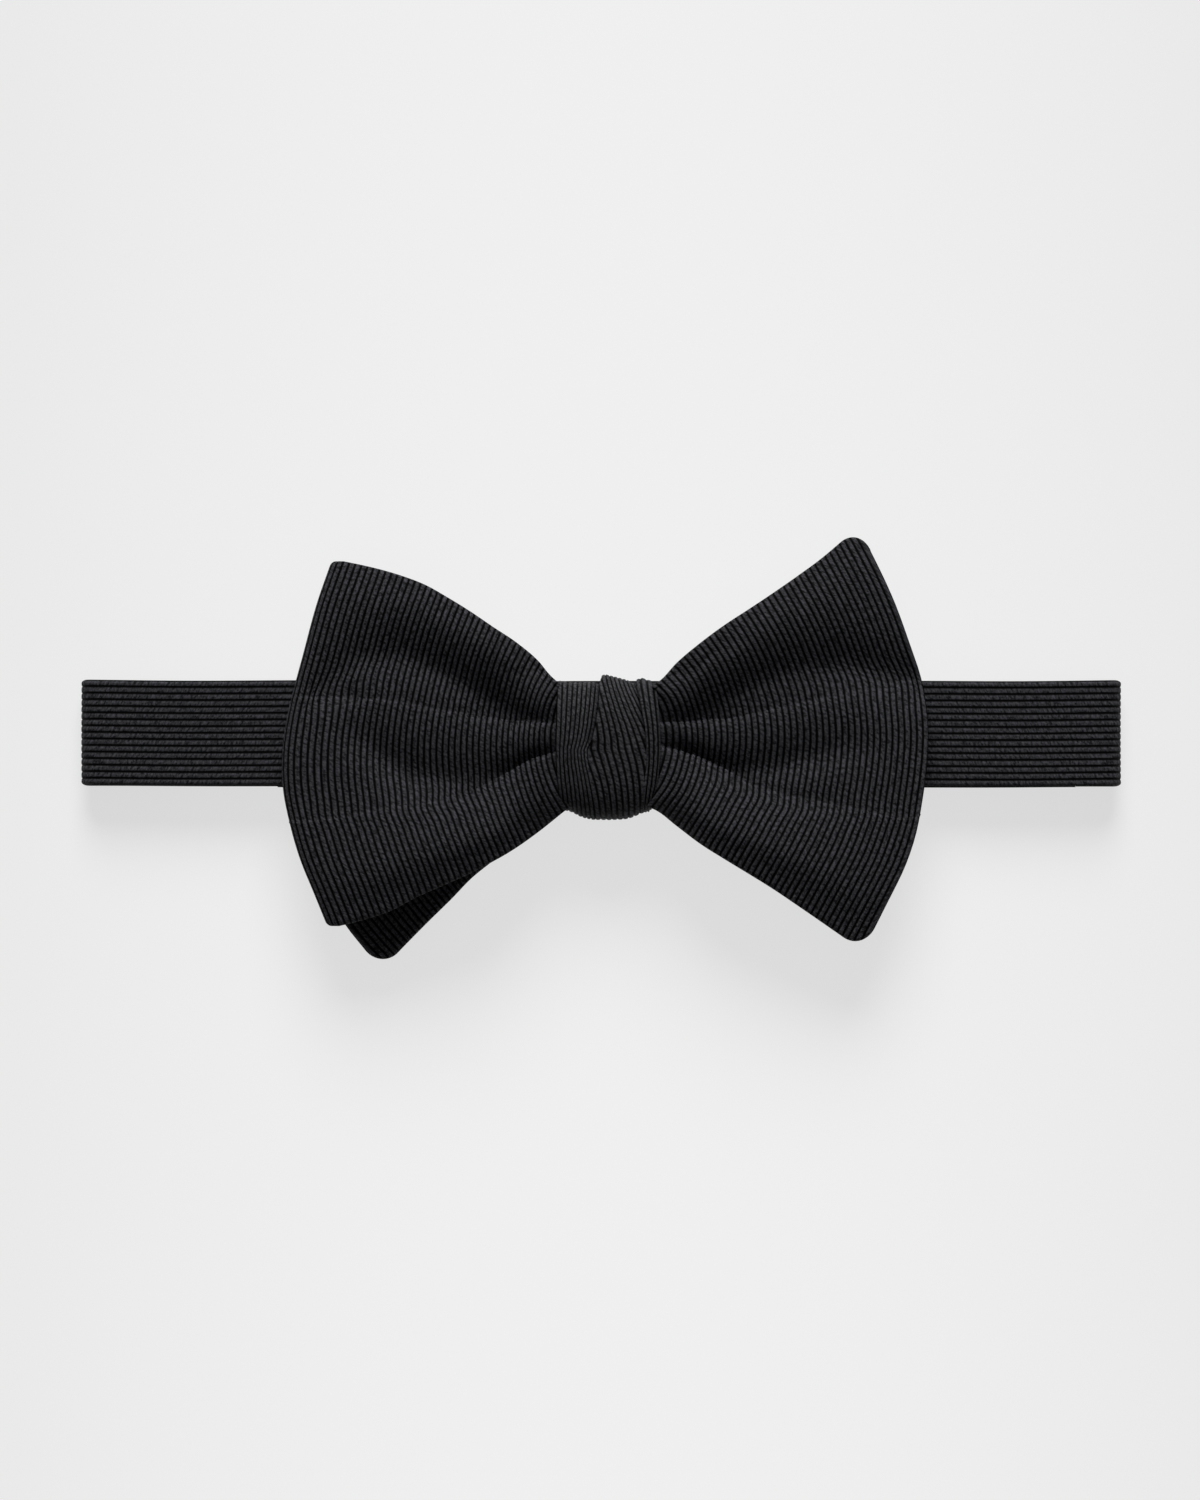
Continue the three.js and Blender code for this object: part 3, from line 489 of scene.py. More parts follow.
def press_tree():
    """Presses grooves into cloth, one for each whole number of its "rib" attribute."""
    tree, given = new_tree("grosgrain_ribs", ("Groove depth", "Float"), ("Groove sharpness", "Float"),
                           ("Cloth", "Material"))
    rib = add(tree, "GeometryNodeInputNamedAttribute", {"Name": "rib"}, data_type="FLOAT").outputs[0]
    share = add(tree, "GeometryNodeInputNamedAttribute", {"Name": "rib_share"}, data_type="FLOAT").outputs[0]
    part = add(tree, "ShaderNodeMath", {0: rib}, operation="FRACT").outputs[0]
    away = add(tree, "ShaderNodeMath", {0: part, 1: 2.0, 2: -1.0}, operation="MULTIPLY_ADD").outputs[0]
    away = add(tree, "ShaderNodeMath", {0: away}, operation="ABSOLUTE").outputs[0]
    groove = add(tree, "ShaderNodeMath", {0: away, 1: given[2]}, operation="POWER").outputs[0]
    depth = add(tree, "ShaderNodeMath", {0: share, 1: given[1]}, operation="MULTIPLY").outputs[0]
    inward = add(tree, "ShaderNodeMath", {0: depth, 1: -1.0}, operation="MULTIPLY").outputs[0]
    move = add(tree, "ShaderNodeMath", {0: groove, 1: inward}, operation="MULTIPLY").outputs[0]
    normal = add(tree, "GeometryNodeInputNormal").outputs[0]
    push = add(tree, "ShaderNodeVectorMath", {0: normal, "Scale": move}, operation="SCALE").outputs[0]
    moved = add(tree, "GeometryNodeSetPosition", {"Geometry": given[0], "Offset": push}).outputs[0]
    return finish_tree(tree, moved, given[3])


rib_press = press_tree()


def run_tree(piece, tree, values):
    """Runs a tree on a piece with the given inputs, and keeps the plain mesh that comes out."""
    modifier = piece.modifiers.new(tree.name, "NODES")
    modifier.node_group = tree
    for socket in tree.interface.items_tree:
        if socket.in_out == "INPUT" and socket.name in values:
            modifier[socket.identifier] = values[socket.name]
    graph = bpy.context.evaluated_depsgraph_get()
    mesh = bpy.data.meshes.new_from_object(piece.evaluated_get(graph), preserve_all_data_layers=True,
                                           depsgraph=graph)
    piece.modifiers.remove(modifier)
    old, piece.data = piece.data, mesh
    bpy.data.meshes.remove(old)
    mesh.name = piece.name
    mesh.polygons.foreach_set("use_smooth", [True] * len(mesh.polygons))


def hand_over(piece, body, slot, *nodes):
    """Says what a finished piece rides on and which plain nodes it stands for. The slot, the name of its
    finish, is not used.
    """
    if body:
        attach(piece, body)
    if nodes:
        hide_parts(*nodes)


def dye(piece, material):
    piece.data.materials.clear()
    piece.data.materials.append(material)


front_blade_set = {
    "fold": front_fold, "tip": front_tip,
    # Behind, in front and at the tip: [distance from the middle, height above the band], how much of the
    # pleats and lobes is there, and how far the wrap draws the edges down.
    "runs": (([[0, 5.2], [9.3, 5.6], [28, 4.6], [56, 4.1]], 0.8, 2.6),
             ([[0, 7.2], [7, 7.4], [12, 7.9], [28, 8.2], [56, 7.2]], 1.0, 3.6),
             ([[0, 7.2], [7, 7.4], [12, 7.9], [28, 8.2], [60, 6.6]], 1.0, 3.6)),
}
# The groove colour is painted shade in the grooves, and the thread colour a painted highlight for the
# threads' shine.
bow_silk = grosgrain("black_grosgrain_bow", crest="171718", groove="020202", thread="4f4f54")
front_blade = sewn_blade("front_blade", front_blade_set, 5)
run_tree(front_blade, rib_press, {"Groove depth": RIB_DEPTH * MM, "Groove sharpness": 4.0, "Cloth": bow_silk})
hand_over(front_blade, "bow", "bow_silk", "front_blade_face", "front_blade_lining")

# ---------------------------------------------------------------------------------------------------------
# Rear blade. The same strip as the front one, laid the other way round beneath it: its fold is on the right
# and its free tip on the left, turned down a little so that a corner shows below the front blade.

REAR_SIZE = 0.92


def mirrored(points, size):
    return [(-size * x, KNOT_MIDDLE + size * (y - KNOT_MIDDLE)) for x, y in points]


rear_fold = dict(front_fold, side=1)
for part in ("outer", "bottom", "top"):
    rear_fold[part] = mirrored(front_fold[part], REAR_SIZE)
rear_fold["inner"] = [(5.6, -12.6), (8.0, -9.2), (9.4, -5.4), (9.9, -2.0), (9.6, 1.8), (8.4, 5.0), (6.6, 7.2)]
# Beside the knot it is drawn in, so that the front tip covers it.
rear_fold["bottom"][:8] = [rear_fold["inner"][0], (9.4, -13.8), (12.1, -15.2), (16.5, -18.2), (21.8, -21.5),
                           (24.7, -23.6), (29.4, -26.0), (34.2, -29.0)]
rear_fold["top"][:9] = [rear_fold["inner"][-1], (9.6, 8.6), (11.5, 10.0), (15.7, 13.6), (20.0, 17.0),
                        (24.1, 19.8), (28.2, 22.2), (32.5, 24.4)]
rear_fold["furrows"] = front_tip["furrows"]
rear_tip = {
    "side": -1,
    "inner": [(-4.6, -12.7), (-6.8, -9.2), (-8.1, -5.4), (-8.6, -2.0), (-8.3, 1.8), (-7.2, 5.0), (-5.4, 7.4)],
    "outer": [(-41.9, -44.9), (-45.2, -41.4), (-49.2, -36.4), (-52.6, -30.5), (-55.7, -22.5), (-57.9, -13.0),
              (-59.0, -3.0), (-58.4, 5.0), (-56.8, 13.0), (-54.2, 21.0), (-50.6, 29.2)],
    "bottom": [(-4.6, -12.7), (-8.4, -15.0), (-14.6, -19.8), (-21.6, -24.9), (-24.7, -27.4), (-28.8, -31.6),
               (-33.8, -36.5), (-38.7, -41.5), (-41.9, -44.9)],
    "top": [(-5.4, 7.4), (-8.9, 9.2), (-17.0, 16.0), (-26.0, 21.6), (-35.0, 26.0), (-43.5, 28.4),
            (-50.6, 29.2)],
    "crease_low": front_fold["crease_low"],
    "crease_high": front_fold["crease_high"],
    "furrows": front_fold["furrows"],
    "shifts": [],
    "rise_top": 2.6,
    "rise_bottom": 2.6,
}
rear_blade_set = {
    "fold": rear_fold, "tip": rear_tip,
    "runs": (([[0, 1.5], [9.3, 1.5], [28, 1.7], [56, 1.6]], 0.3, 0.8),
             ([[0, 3.4], [9.3, 3.6], [28, 5.0], [56, 4.6]], 0.8, 1.6),
             ([[0, 3.4], [9.3, 3.6], [28, 2.0], [60, 1.5]], 0.5, 1.6)),
}
rear_blade = sewn_blade("rear_blade", rear_blade_set, 5)
run_tree(rear_blade, rib_press, {"Groove depth": RIB_DEPTH * MM, "Groove sharpness": 4.0, "Cloth": bow_silk})
hand_over(rear_blade, "bow", "bow_silk", "rear_blade_face", "rear_blade_lining")

# ---------------------------------------------------------------------------------------------------------
# Blade canvas. Each blade is stiffened by a plain-woven cotton canvas, dyed dark, cut a little smaller than
# the face and laid between it and the lining.

CANVAS_LIFT, CANVAS_PLY = 0.2, 0.2  # above the lining, and its thickness
CANVAS_ROWS = np.linspace(-0.93, 0.93, 34)


def canvas_cloth():
    """Cotton canvas dyed dark, so that it doesn't show through: a visible plain weave of matt yarns."""
    material, tree = empty_material("charcoal_cotton_canvas")
    place = add(tree, "ShaderNodeTexCoord").outputs["Object"]
    # Yarns 0.8 mm apart.
    warp = add(tree, "ShaderNodeTexWave", {"Vector": place, "Scale": 390.0, "Distortion": 0.6},
               bands_direction="X").outputs[1]
    weft = add(tree, "ShaderNodeTexWave", {"Vector": place, "Scale": 390.0, "Distortion": 0.6},
               bands_direction="Y").outputs[1]
    weave = add(tree, "ShaderNodeMath", {0: warp, 1: weft}, operation="MULTIPLY").outputs[0]
    tone = add(tree, "ShaderNodeMix", {"Factor": weave, 6: colour("1b1b1c"), 7: colour("39393b")},
               data_type="RGBA").outputs[2]
    bump = add(tree, "ShaderNodeBump", {"Height": weave, "Strength": 0.5, "Distance": 0.0002}).outputs[0]
    shader = add(tree, "ShaderNodeBsdfPrincipled", {"Base Color": tone, "Roughness": 0.9, "Normal": bump,
                                                    "Specular IOR Level": 0.2})
    add(tree, "ShaderNodeOutputMaterial", {0: shader.outputs[0]})
    return material


canvas = canvas_cloth()
for name, blade, nodes, area in (("front", front_blade_set, "front_blade_interlining", 0.0081),
                                 ("rear", rear_blade_set, "rear_blade_interlining", 0.0073)):
    st = blade_stations(blade, 1)
    cut = slice(1, -len(EDGE_ROWS))
    low, along, out = (part[cut] for part in lining_of(st, CANVAS_ROWS))
    rings = np.concatenate([low + out * (CANVAS_LIFT + CANVAS_PLY), (low + out * CANVAS_LIFT)[:, ::-1]], 1)
    along = np.concatenate([along, along[:, ::-1]], 1)
    blade_canvas = skin(name + "_blade_canvas", rings, st["rib"][cut][:, None], along, 0)
    dye(blade_canvas, canvas)
    hand_over(blade_canvas, "bow", "interlining", nodes)

# ---------------------------------------------------------------------------------------------------------
# Knot. A short lined strip of the same silk, drawn tight round the blades and the band with its ribs
# running round it. It is folded into three: a left part, a middle part that laps over it and whose ribs fan
# out from the crease, and a narrow right part.

KNOT_PLY = 1.25
KNOT_BACK, KNOT_FRONT = 4.4, 20.45
KNOT_SQUARE = 2.7  # 2 would be an ellipse, and more is squarer
KNOT_STATIONS = 150
KNOT_EDGE = [0, 0.05, 0.18, 0.42, 0.75]
LEAN_RIBS = 6.0  # how many more ribs have come out of the first crease at the top than at the bottom
LAP_HEIGHTS = 1.35, 0.9  # of the middle part over the left one, and of the right part over the middle one
DENT_DEPTH = 0.9  # beside its left and right edges, near the bottom
VALLEY_GAIN = 1.2  # how far the canvas keeps below a crease, as a share of the lap there
CROWN = 0.35  # how much higher the middle of its front is than the sides
# The height up the knot from 0 to 1, and there the left edge, the two creases and the right edge.
knot_edges = [(0.0, -8.2, -1.5, 7.5, 9.2), (0.25, -8.8, -2.2, 8.0, 10.4), (0.4, -9.0, -2.75, 8.3, 10.8),
              (0.5, -9.0, -2.83, 8.3, 10.9), (0.57, -9.0, -2.0, 8.25, 10.9), (0.68, -8.95, -1.3, 8.0, 10.8),
              (0.83, -8.85, -0.75, 7.3, 10.5), (1.0, -8.7, -0.36, 6.4, 10.1)]
knot_ribs = (8, 8.5, 3)  # of the left, middle and right parts
knot_top = [(-8.7, 10.1), (-8.2, 9.95), (-6.5, 9.6), (-4.8, 9.55), (-2.2, 9.8), (-0.4, 10.0), (0.5, 10.3),
            (2.5, 10.2), (4.4, 9.95), (6.3, 9.6), (7.4, 9.9), (9.0, 9.6), (10.1, 9.1)]
knot_bottom = [(-8.2, -15.0), (-7.6, -15.4), (-5.0, -16.1), (-2.0, -16.55), (1.0, -16.6), (4.0, -16.5),
               (6.5, -16.2), (8.6, -15.8), (9.2, -15.5)]


def knot_columns():
    """Columns across the knot: part, share of it, crease number, its tuck in x and height, edge distance."""
    columns = []
    for part, ribs in enumerate(knot_ribs):
        width = knot_edges[3][part + 2] - knot_edges[3][part + 1]
        shares = list(np.arange(0, ribs - 0.02, 0.14) / ribs)
        if part == 0:
            shares = [d / width for d in KNOT_EDGE] + [s for s in shares if s * width > 0.9]
        else:
            # The lap: the part before runs on beneath, then this part comes over it.
            columns += [(part, 0.0, part, 0.35, -2.0, 9), (part, 0.0, part, 0.3, -0.3, 9)]
            shares = [0.0, 0.008] + shares[1:]
        if part == 2:
            shares = [s for s in shares if (1 - s) * width > 0.9] + [1 - d / width for d in KNOT_EDGE[::-1]]
        for s in shares:
            columns.append((part, s, 0, 0, 0, {0: s * width, 1: 9, 2: (1 - s) * width}[part]))
    return columns


def knot_surface(thick, columns, sink=0.0):
    """Rings round the knot at half of thick outside and inside a surface sunk from its middle one."""
    turn = np.linspace(-np.pi, np.pi, KNOT_STATIONS, endpoint=False)
    c, s = np.cos(turn), np.sin(turn)
    bend_y = np.sign(s) * np.abs(s) ** (2 / KNOT_SQUARE)
    bend_z = np.sign(c) * np.abs(c) ** (2 / KNOT_SQUARE)
    normal_y = np.sign(s) * np.abs(bend_y) ** (KNOT_SQUARE - 1) / 12.0
    normal_z = np.sign(c) * np.abs(bend_z) ** (KNOT_SQUARE - 1) / 7.4
    size = np.hypot(normal_y, normal_z)
    normal_y, normal_z = normal_y / size, normal_z / size
    share = (bend_y + 1) / 2
    in_front = smooth(c, -0.5, 0.0)
    laps = [0 * share, LAP_HEIGHTS[0] * smooth(share, 0.44, 0.62) * in_front,
            LAP_HEIGHTS[1] * smooth(share, 0.35, 0.8) * in_front]
    edges = np.array(knot_edges)
    lines = [np.interp(share, edges[:, 0], edges[:, k]) for k in range(1, 5)]
    lean = LEAN_RIBS * share**1.9
    calm_lean = LEAN_RIBS * np.minimum(share, 0.45) ** 1.9
    outer, inner, ribs, full_all = [], [], [], []
    for part, f, crease, tuck, drop, edge in columns:
        left, right = lines[part], lines[part + 1]
        width = right - left
        lap = laps[part]
        next_lap = laps[part + 1] if part < 2 else 0 * share
        x = left + width * f
        if crease:
            x, height = x + tuck * lap, drop * lap
        else:
            into, before = f * width, (1 - f) * width
            height = lap * 0.8 * np.exp(-into / 3.0) * (1 - 0.5 * np.exp(-into / 0.3))
            height = height - next_lap * (0.4 * np.exp(-before / 1.6) + 1.5 * np.exp(-before / 0.45))
            x = x - 0.12 * lap * np.exp(-into / 0.4) + 0.25 * next_lap * np.exp(-before / 0.4)
        # It sinks beside its left and right edges near the bottom.
        dent = DENT_DEPTH * (np.exp(-(((x + 6.6) / 2.0) ** 2)) + np.exp(-(((x - 8.2) / 2.2) ** 2)))
        dent = dent * smooth(0.62 - share, 0, 0.4) * in_front
        height = height - dent
        valley = dent + sum(VALLEY_GAIN * laps[k] * np.exp(-(((x - lines[k]) / 1.4) ** 2)) for k in (1, 2))
        first, last = edges[0], edges[-1]
        top = np.interp(last[part + 1] * (1 - f) + last[part + 2] * f, *np.array(knot_top).T)
        low = np.interp(first[part + 1] * (1 - f) + first[part + 2] * f, *np.array(knot_bottom).T)
        half_y, half_z = (top - low - KNOT_PLY) / 2, (KNOT_FRONT - KNOT_BACK - KNOT_PLY) / 2
        y = (top + low) / 2 + half_y * bend_y
        z = (KNOT_FRONT + KNOT_BACK) / 2 + half_z * bend_z
        crown = CROWN * (1 - ((x - 0.9) / 10.0) ** 2) * smooth(c, 0.0, 0.8) - CROWN
        full = math.sqrt(1 - (1 - min(edge / 0.75, 1)) ** 2)
        for store, way in ((outer, 1), (inner, -1)):
            off = (-valley if sink else height) + way * thick / 2 * full - sink
            store.append(np.stack([x, y + normal_y * off, z + normal_z * off + crown], -1))
        ribs.append(sum(knot_ribs[:part]) + f * knot_ribs[part] + [calm_lean * f**2, lean, 0 * lean][part])
        full_all.append(full if not crease else 0)
    steps = np.hypot(*np.diff(np.stack([bend_y * 12.5, bend_z * 7.4]), axis=1, append=[[0], [0]]))
    along = np.r_[0, np.cumsum(steps)]
    keep = slice(1, -1)
    rings = np.stack(outer + inner[::-1][keep], 1)
    rib = np.stack(ribs + ribs[::-1][keep], 1)
    full = np.r_[full_all, full_all[::-1][keep]]
    return rings, np.concatenate([rib, rib[:1]]), along, full


# The groove colour is painted shade in the grooves, and the thread colour a painted highlight for the
# threads' shine.
knot_silk = grosgrain("black_grosgrain_knot", crest="161617", groove="020202", thread="505054", bunches=2.3)
rings, rib, along, full = knot_surface(KNOT_PLY, knot_columns())
knot_sleeve = skin("knot_wrap_sleeve", rings, rib, along[:, None], full[None], closed=True)
run_tree(knot_sleeve, rib_press, {"Groove depth": 0.28 * MM, "Groove sharpness": 4.0, "Cloth": knot_silk})
hand_over(knot_sleeve, "bow", "knot_silk", "knot_wrap")

knot_core = [c for c in knot_columns() if c[5] > 1.0 and not c[2]][::4]
rings, rib, along, full = knot_surface(0.2, knot_core, sink=0.5)
knot_canvas = skin("knot_canvas", rings, rib, along[:, None], 0, closed=True)
dye(knot_canvas, canvas)
hand_over(knot_canvas, "bow", "interlining", "knot_wrap_interlining")

# ---------------------------------------------------------------------------------------------------------
# Neckband. A tube of the same silk, 20 mm wide and pressed flat, whose ribs run lengthwise. It passes through
# the knot and is folded under itself at both ends: on the left it is hemmed round the bar of the hook.

BAND_HALF = 10.0
BAND_RIB = 1.25
BAND_EDGE = [0, 0.05, 0.16, 0.34, 0.6]
BAND_MIDDLE = 7.95
FOLD_HEIGHT = 4.3
FOLD_RADIUS = 3.65
LEFT_FOLD, RIGHT_FOLD = -95.0, 94.2


def band_line(parts, step=2.5):
    """Centre points [x, z, half thickness] through straight ends and ("arc", x, z, radius, from, to)."""
    line = []
    for part in parts:
        if part[0] == "arc":
            _, x, z, radius, start, end, thick = part
            turns = np.radians(np.linspace(start, end, max(8, int(abs(end - start) / 9)) + 1))
            points = [(x + radius * math.cos(a), z + radius * math.sin(a), thick / 2) for a in turns]
        else:
            points = [(part[0], part[1], part[2] / 2)]
        for point in points:
            if line:
                x0, z0, h0 = line[-1]
                count = int(math.hypot(point[0] - x0, point[1] - z0) / step)
                for k in range(1, count + 1):
                    w = k / (count + 1)
                    line.append(tuple(a + (b - a) * w for a, b in zip((x0, z0, h0), point)))
            if not line or math.hypot(point[0] - line[-1][0], point[1] - line[-1][1]) > 1e-4:
                line.append(point)
    return np.array(line)


def webbing(name, line, low, high, silk, depth=0.17, wave=0.12, start=0.0):
    """Ribbed band cloth along a centre line, from low to high across. Its ribs run along the line."""
    along = start + np.r_[0, np.cumsum(np.hypot(*np.diff(line[:, :2], axis=0).T))]
    way = np.gradient(line[:, :2], axis=0)
    way /= np.hypot(*way.T)[:, None]
    normal = np.stack([-way[:, 1], way[:, 0]], -1)
    ribs = round(2 * BAND_HALF / BAND_RIB)
    shares, _ = rib_stations(ribs, 5)
    width = 2 * BAND_HALF
    near = np.array(BAND_EDGE) / width
    inner = shares[(shares > near[-1] + 0.005) & (shares < 1 - near[-1] - 0.005)]
    shares = np.r_[near, inner, 1 - near[::-1]]
    edge = np.clip(np.minimum(shares, 1 - shares) * width / BAND_EDGE[-1], 0, 1)
    full = np.sqrt(1 - (1 - edge) ** 2)
    low, high = (np.broadcast_to(k, len(line))[:, None] for k in (low, high))
    y = low + (high - low) * shares
    drift = wave * (np.sin(along / 17.0 + 1.0) + 0.6 * np.sin(along / 7.3))[:, None]
    y = y + drift * 0.8
    lift = 0.3 * wave * (1 + np.sin(along[:, None] / 9.0 + y / 6.0))
    grid = {}
    for side in (1, -1):
        off = line[:, 2:3] * full * side + lift
        grid[side] = np.stack([line[:, :1] + normal[:, :1] * off, y, line[:, 1:2] + normal[:, 1:] * off], -1)
    keep = slice(1, -1)
    rings = np.concatenate([grid[1], grid[-1][:, ::-1][:, keep]], 1)
    rib = np.r_[shares, shares[::-1][keep]] * ribs
    share = np.r_[full, full[::-1][keep]]
    piece = skin(name, rings, rib[None], along[:, None], share[None])
    run_tree(piece, rib_press, {"Groove depth": depth * MM, "Groove sharpness": 4.0, "Cloth": silk})
    return piece


def taper(x):
    """The band's lower and upper edges, drawn in where it passes through the knot."""
    open_ = smooth(np.abs(x), 10.9, 17.0)
    return -9.4 - 0.5 * open_, 6.0 + 4.0 * open_


# The groove colour is painted shade in the grooves, and the thread colour a painted highlight for the
# threads' shine.
band_silk = grosgrain("black_grosgrain_band", crest="171719", groove="020202", thread="505055", bunches=2.2)
left_line = band_line([(-0.06, BAND_MIDDLE, 1.3), (LEFT_FOLD, BAND_MIDDLE, 1.3),
                       ("arc", LEFT_FOLD, FOLD_HEIGHT, FOLD_RADIUS, 90, 270, 1.3), (-68, 0.65, 1.3),
                       (-64, 0.5, 0.9), (-60, 0.47, 0.9)])
low, high = taper(left_line[:, 0])
behind = smooth(-left_line[:, 1], -7.0, -1.5)
neckband_left = webbing("neckband_left", left_line, low - 0.35 * behind, high - 0.25 * behind, band_silk)
hand_over(neckband_left, None, "band_silk", "neckband_front_run", "left_fold", "hook_strap_rear_run")
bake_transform(neckband_left)

hem_line = band_line([(-59.98, 0.47, 0.9), (-56, 0.45, 0.9), (-51.5, 0.45, 0.9),
                      ("arc", -50, 1.75, 1.3, -90, 90, 0.9), (-52.5, 2.69, 0.9), (-55.5, 1.6, 0.9),
                      (-62, 1.45, 0.9)])
hook_hem = webbing("hook_hem", hem_line, -10.25, 9.75, band_silk, start=142)
hand_over(hook_hem, "hook_strap", "band_silk")

right_line = band_line([(0.06, BAND_MIDDLE, 1.3), (RIGHT_FOLD, BAND_MIDDLE, 1.3),
                        ("arc", RIGHT_FOLD, FOLD_HEIGHT, FOLD_RADIUS, 90, -90, 1.3), (90, 0.65, 1.3)])
low, high = taper(right_line[:, 0])
behind = smooth(-right_line[:, 1], -7.0, -1.5)
neckband_right = webbing("neckband_right", right_line, low - 0.2 - 0.3 * behind, high - 0.1 - 0.25 * behind,
                         band_silk)
hand_over(neckband_right, None, "band_silk", "right_fold")
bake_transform(neckband_right)

core_line = band_line([(-94, BAND_MIDDLE, 0.3), (93, BAND_MIDDLE, 0.3)], step=6)
low, high = taper(core_line[:, 0])
neckband_canvas = webbing("neckband_canvas", core_line, low + 1.2, high - 1.4, canvas, depth=0.0, wave=0.0)
hand_over(neckband_canvas, "bow", "interlining", "neckband_interlining")

# ---------------------------------------------------------------------------------------------------------
# Adjuster strap. The right rear run of the band: it weaves through the slide, turns round the bar of the eye,
# comes back and is hemmed round the slide's pin.

adjuster_line = band_line([(89.98, 0.65, 1.3), (83.8, 0.65, 1.3), (79.8, 0.47, 0.9), (41.9, 0.45, 0.9)])
adjuster_run = webbing("adjuster_run", adjuster_line, -10.5, 9.65, band_silk, start=110)
hand_over(adjuster_run, None, "band_silk", "adjuster_strap_rear_run")
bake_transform(adjuster_run)

weave_levels = [[17, 0.45], [19.5, 0.45], [23.3, 3.55], [25.7, 3.55], [29.5, 0.45], [30.5, 0.45],
                [34.3, 3.55], [36.7, 3.55], [40.5, 0.45], [41.8, 0.45]]
hem_levels = [[17, 1.45], [18.7, 1.45], [22.5, 4.55], [26.1, 4.55]]
weave = [(x, float(level(weave_levels, x)), 0.9) for x in np.arange(41.88, 17.0, -0.45)]
hem = [(x, float(level(hem_levels, x)), 0.9) for x in np.arange(17.0, 26.2, 0.45)]
strap_line = band_line(weave + [(-5.7, 0.45, 0.9), ("arc", -12.2, 1.75, 1.3, 270, 90, 0.9), (-9.7, 2.69, 0.9),
                                (-7.2, 1.6, 0.9), (-5.7, 1.45, 0.9)] + hem
                       + [(28.4, 3.85, 0.9), ("arc", 30, 2.5, 1.05, 80, -80, 0.9)])
adjuster_webbing = webbing("adjuster_webbing", strap_line, -10.2, 9.8, band_silk, wave=0.06, start=158)
hand_over(adjuster_webbing, None, "band_silk", "adjuster_strap_weave", "adjuster_strap_hem",
          "adjuster_strap_lower_run", "adjuster_strap_upper_run", "adjuster_strap_turn")
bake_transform(adjuster_webbing)

# ---------------------------------------------------------------------------------------------------------
# Stitches. Black polyester thread: a row of lockstitches through the hook's hem, and the slip stitches by
# hand that close the knot's wrap behind.


def stitch_tree():
    """Turns chains of points into lengths of thread."""
    tree, given = new_tree("thread_stitches", ("Thread radius", "Float"), ("Sides", "Int"),
                           ("Thread", "Material"))
    curve = add(tree, "GeometryNodeMeshToCurve", {0: given[0]}).outputs[0]
    profile = add(tree, "GeometryNodeCurvePrimitiveCircle", {"Resolution": given[2], "Radius": given[1]},
                  mode="RADIUS").outputs[0]
    thread = add(tree, "GeometryNodeCurveToMesh", {"Curve": curve, "Profile Curve": profile,
                                                   "Fill Caps": True}).outputs[0]
    return finish_tree(tree, thread, given[3])


def sewing_thread():
    """Spun polyester thread: matt black with a faint lengthwise shine from its plies."""
    material, tree = empty_material("black_sewing_thread")
    place = add(tree, "ShaderNodeTexCoord").outputs["Object"]
    plies = add(tree, "ShaderNodeTexNoise", {"Vector": place, "Scale": 4000.0, "Detail": 1.0}).outputs[0]
    tone = add(tree, "ShaderNodeMix", {"Factor": plies, 6: colour("141416"), 7: colour("3a3a3e")},
               data_type="RGBA").outputs[2]
    shader = add(tree, "ShaderNodeBsdfPrincipled", {"Base Color": tone, "Roughness": 0.55})
    add(tree, "ShaderNodeOutputMaterial", {0: shader.outputs[0]})
    return material


def stitches(name, chains, radius, thread):
    """A piece of thread stitches, one for each chain of points."""
    mesh = bpy.data.meshes.new(name)
    points = np.concatenate(chains) * MM
    edges, first = [], 0
    for chain in chains:
        edges += [(first + k, first + k + 1) for k in range(len(chain) - 1)]
        first += len(chain)
    mesh.from_pydata(points.tolist(), edges, [])
    piece = bpy.data.objects.new(name, mesh)
    bpy.context.collection.objects.link(piece)
    run_tree(piece, thread_stitches, {"Thread radius": radius * MM, "Sides": 8, "Thread": thread})
    return piece


thread_stitches = stitch_tree()
black_thread = sewing_thread()
arch = np.linspace(-1, 1, 7)
chains = [np.stack([-60 + 0 * arch, y + 0.85 * arch, 1.98 + 0.16 * (1 - arch**2)], -1)
          for y in np.arange(-7.6, 8.0, 2.16)]
hem_stitching = stitches("hook_hem_lockstitch", chains, 0.16, black_thread)
hand_over(hem_stitching, "hook_strap", "thread", "hook_hem_stitching")

chains = [np.stack([3 + 0.32 * arch, y + 0.55 * arch, 4.32 - 0.2 * (1 - arch**2)], -1)
          for y in np.arange(-9.3, 3.6, 1.62)]
slip_stitches = stitches("knot_slip_stitches", chains, 0.15, black_thread)
hand_over(slip_stitches, "bow", "thread", "knot_stitching")

# ---------------------------------------------------------------------------------------------------------
# Size tab. A plain woven satin label, blank, tacked by its two ends to the inside of the hook's strap.


def satin():
    """Woven polyester satin: smooth and ivory, with a soft shine that runs across its fine floats."""
    material, tree = empty_material("ivory_satin")
    place = add(tree, "ShaderNodeTexCoord").outputs["Object"]
    # Floats 0.4 mm apart, coarser than the real ones, so that they show.
    floats = add(tree, "ShaderNodeTexWave",
                 {"Vector": place, "Scale": 780.0, "Distortion": 0.8, "Detail": 1.0},
                 bands_direction="Y").outputs[1]
    tone = add(tree, "ShaderNodeMix", {"Factor": floats, 6: colour("cfcabd"), 7: colour("e6e2d6")},
               data_type="RGBA").outputs[2]
    bump = add(tree, "ShaderNodeBump", {"Height": floats, "Strength": 0.3, "Distance": 0.00008}).outputs[0]
    shader = add(tree, "ShaderNodeBsdfPrincipled", {"Base Color": tone, "Roughness": 0.38, "Normal": bump,
                                                    "Anisotropic": 0.5})
    add(tree, "ShaderNodeOutputMaterial", {0: shader.outputs[0]})
    return material


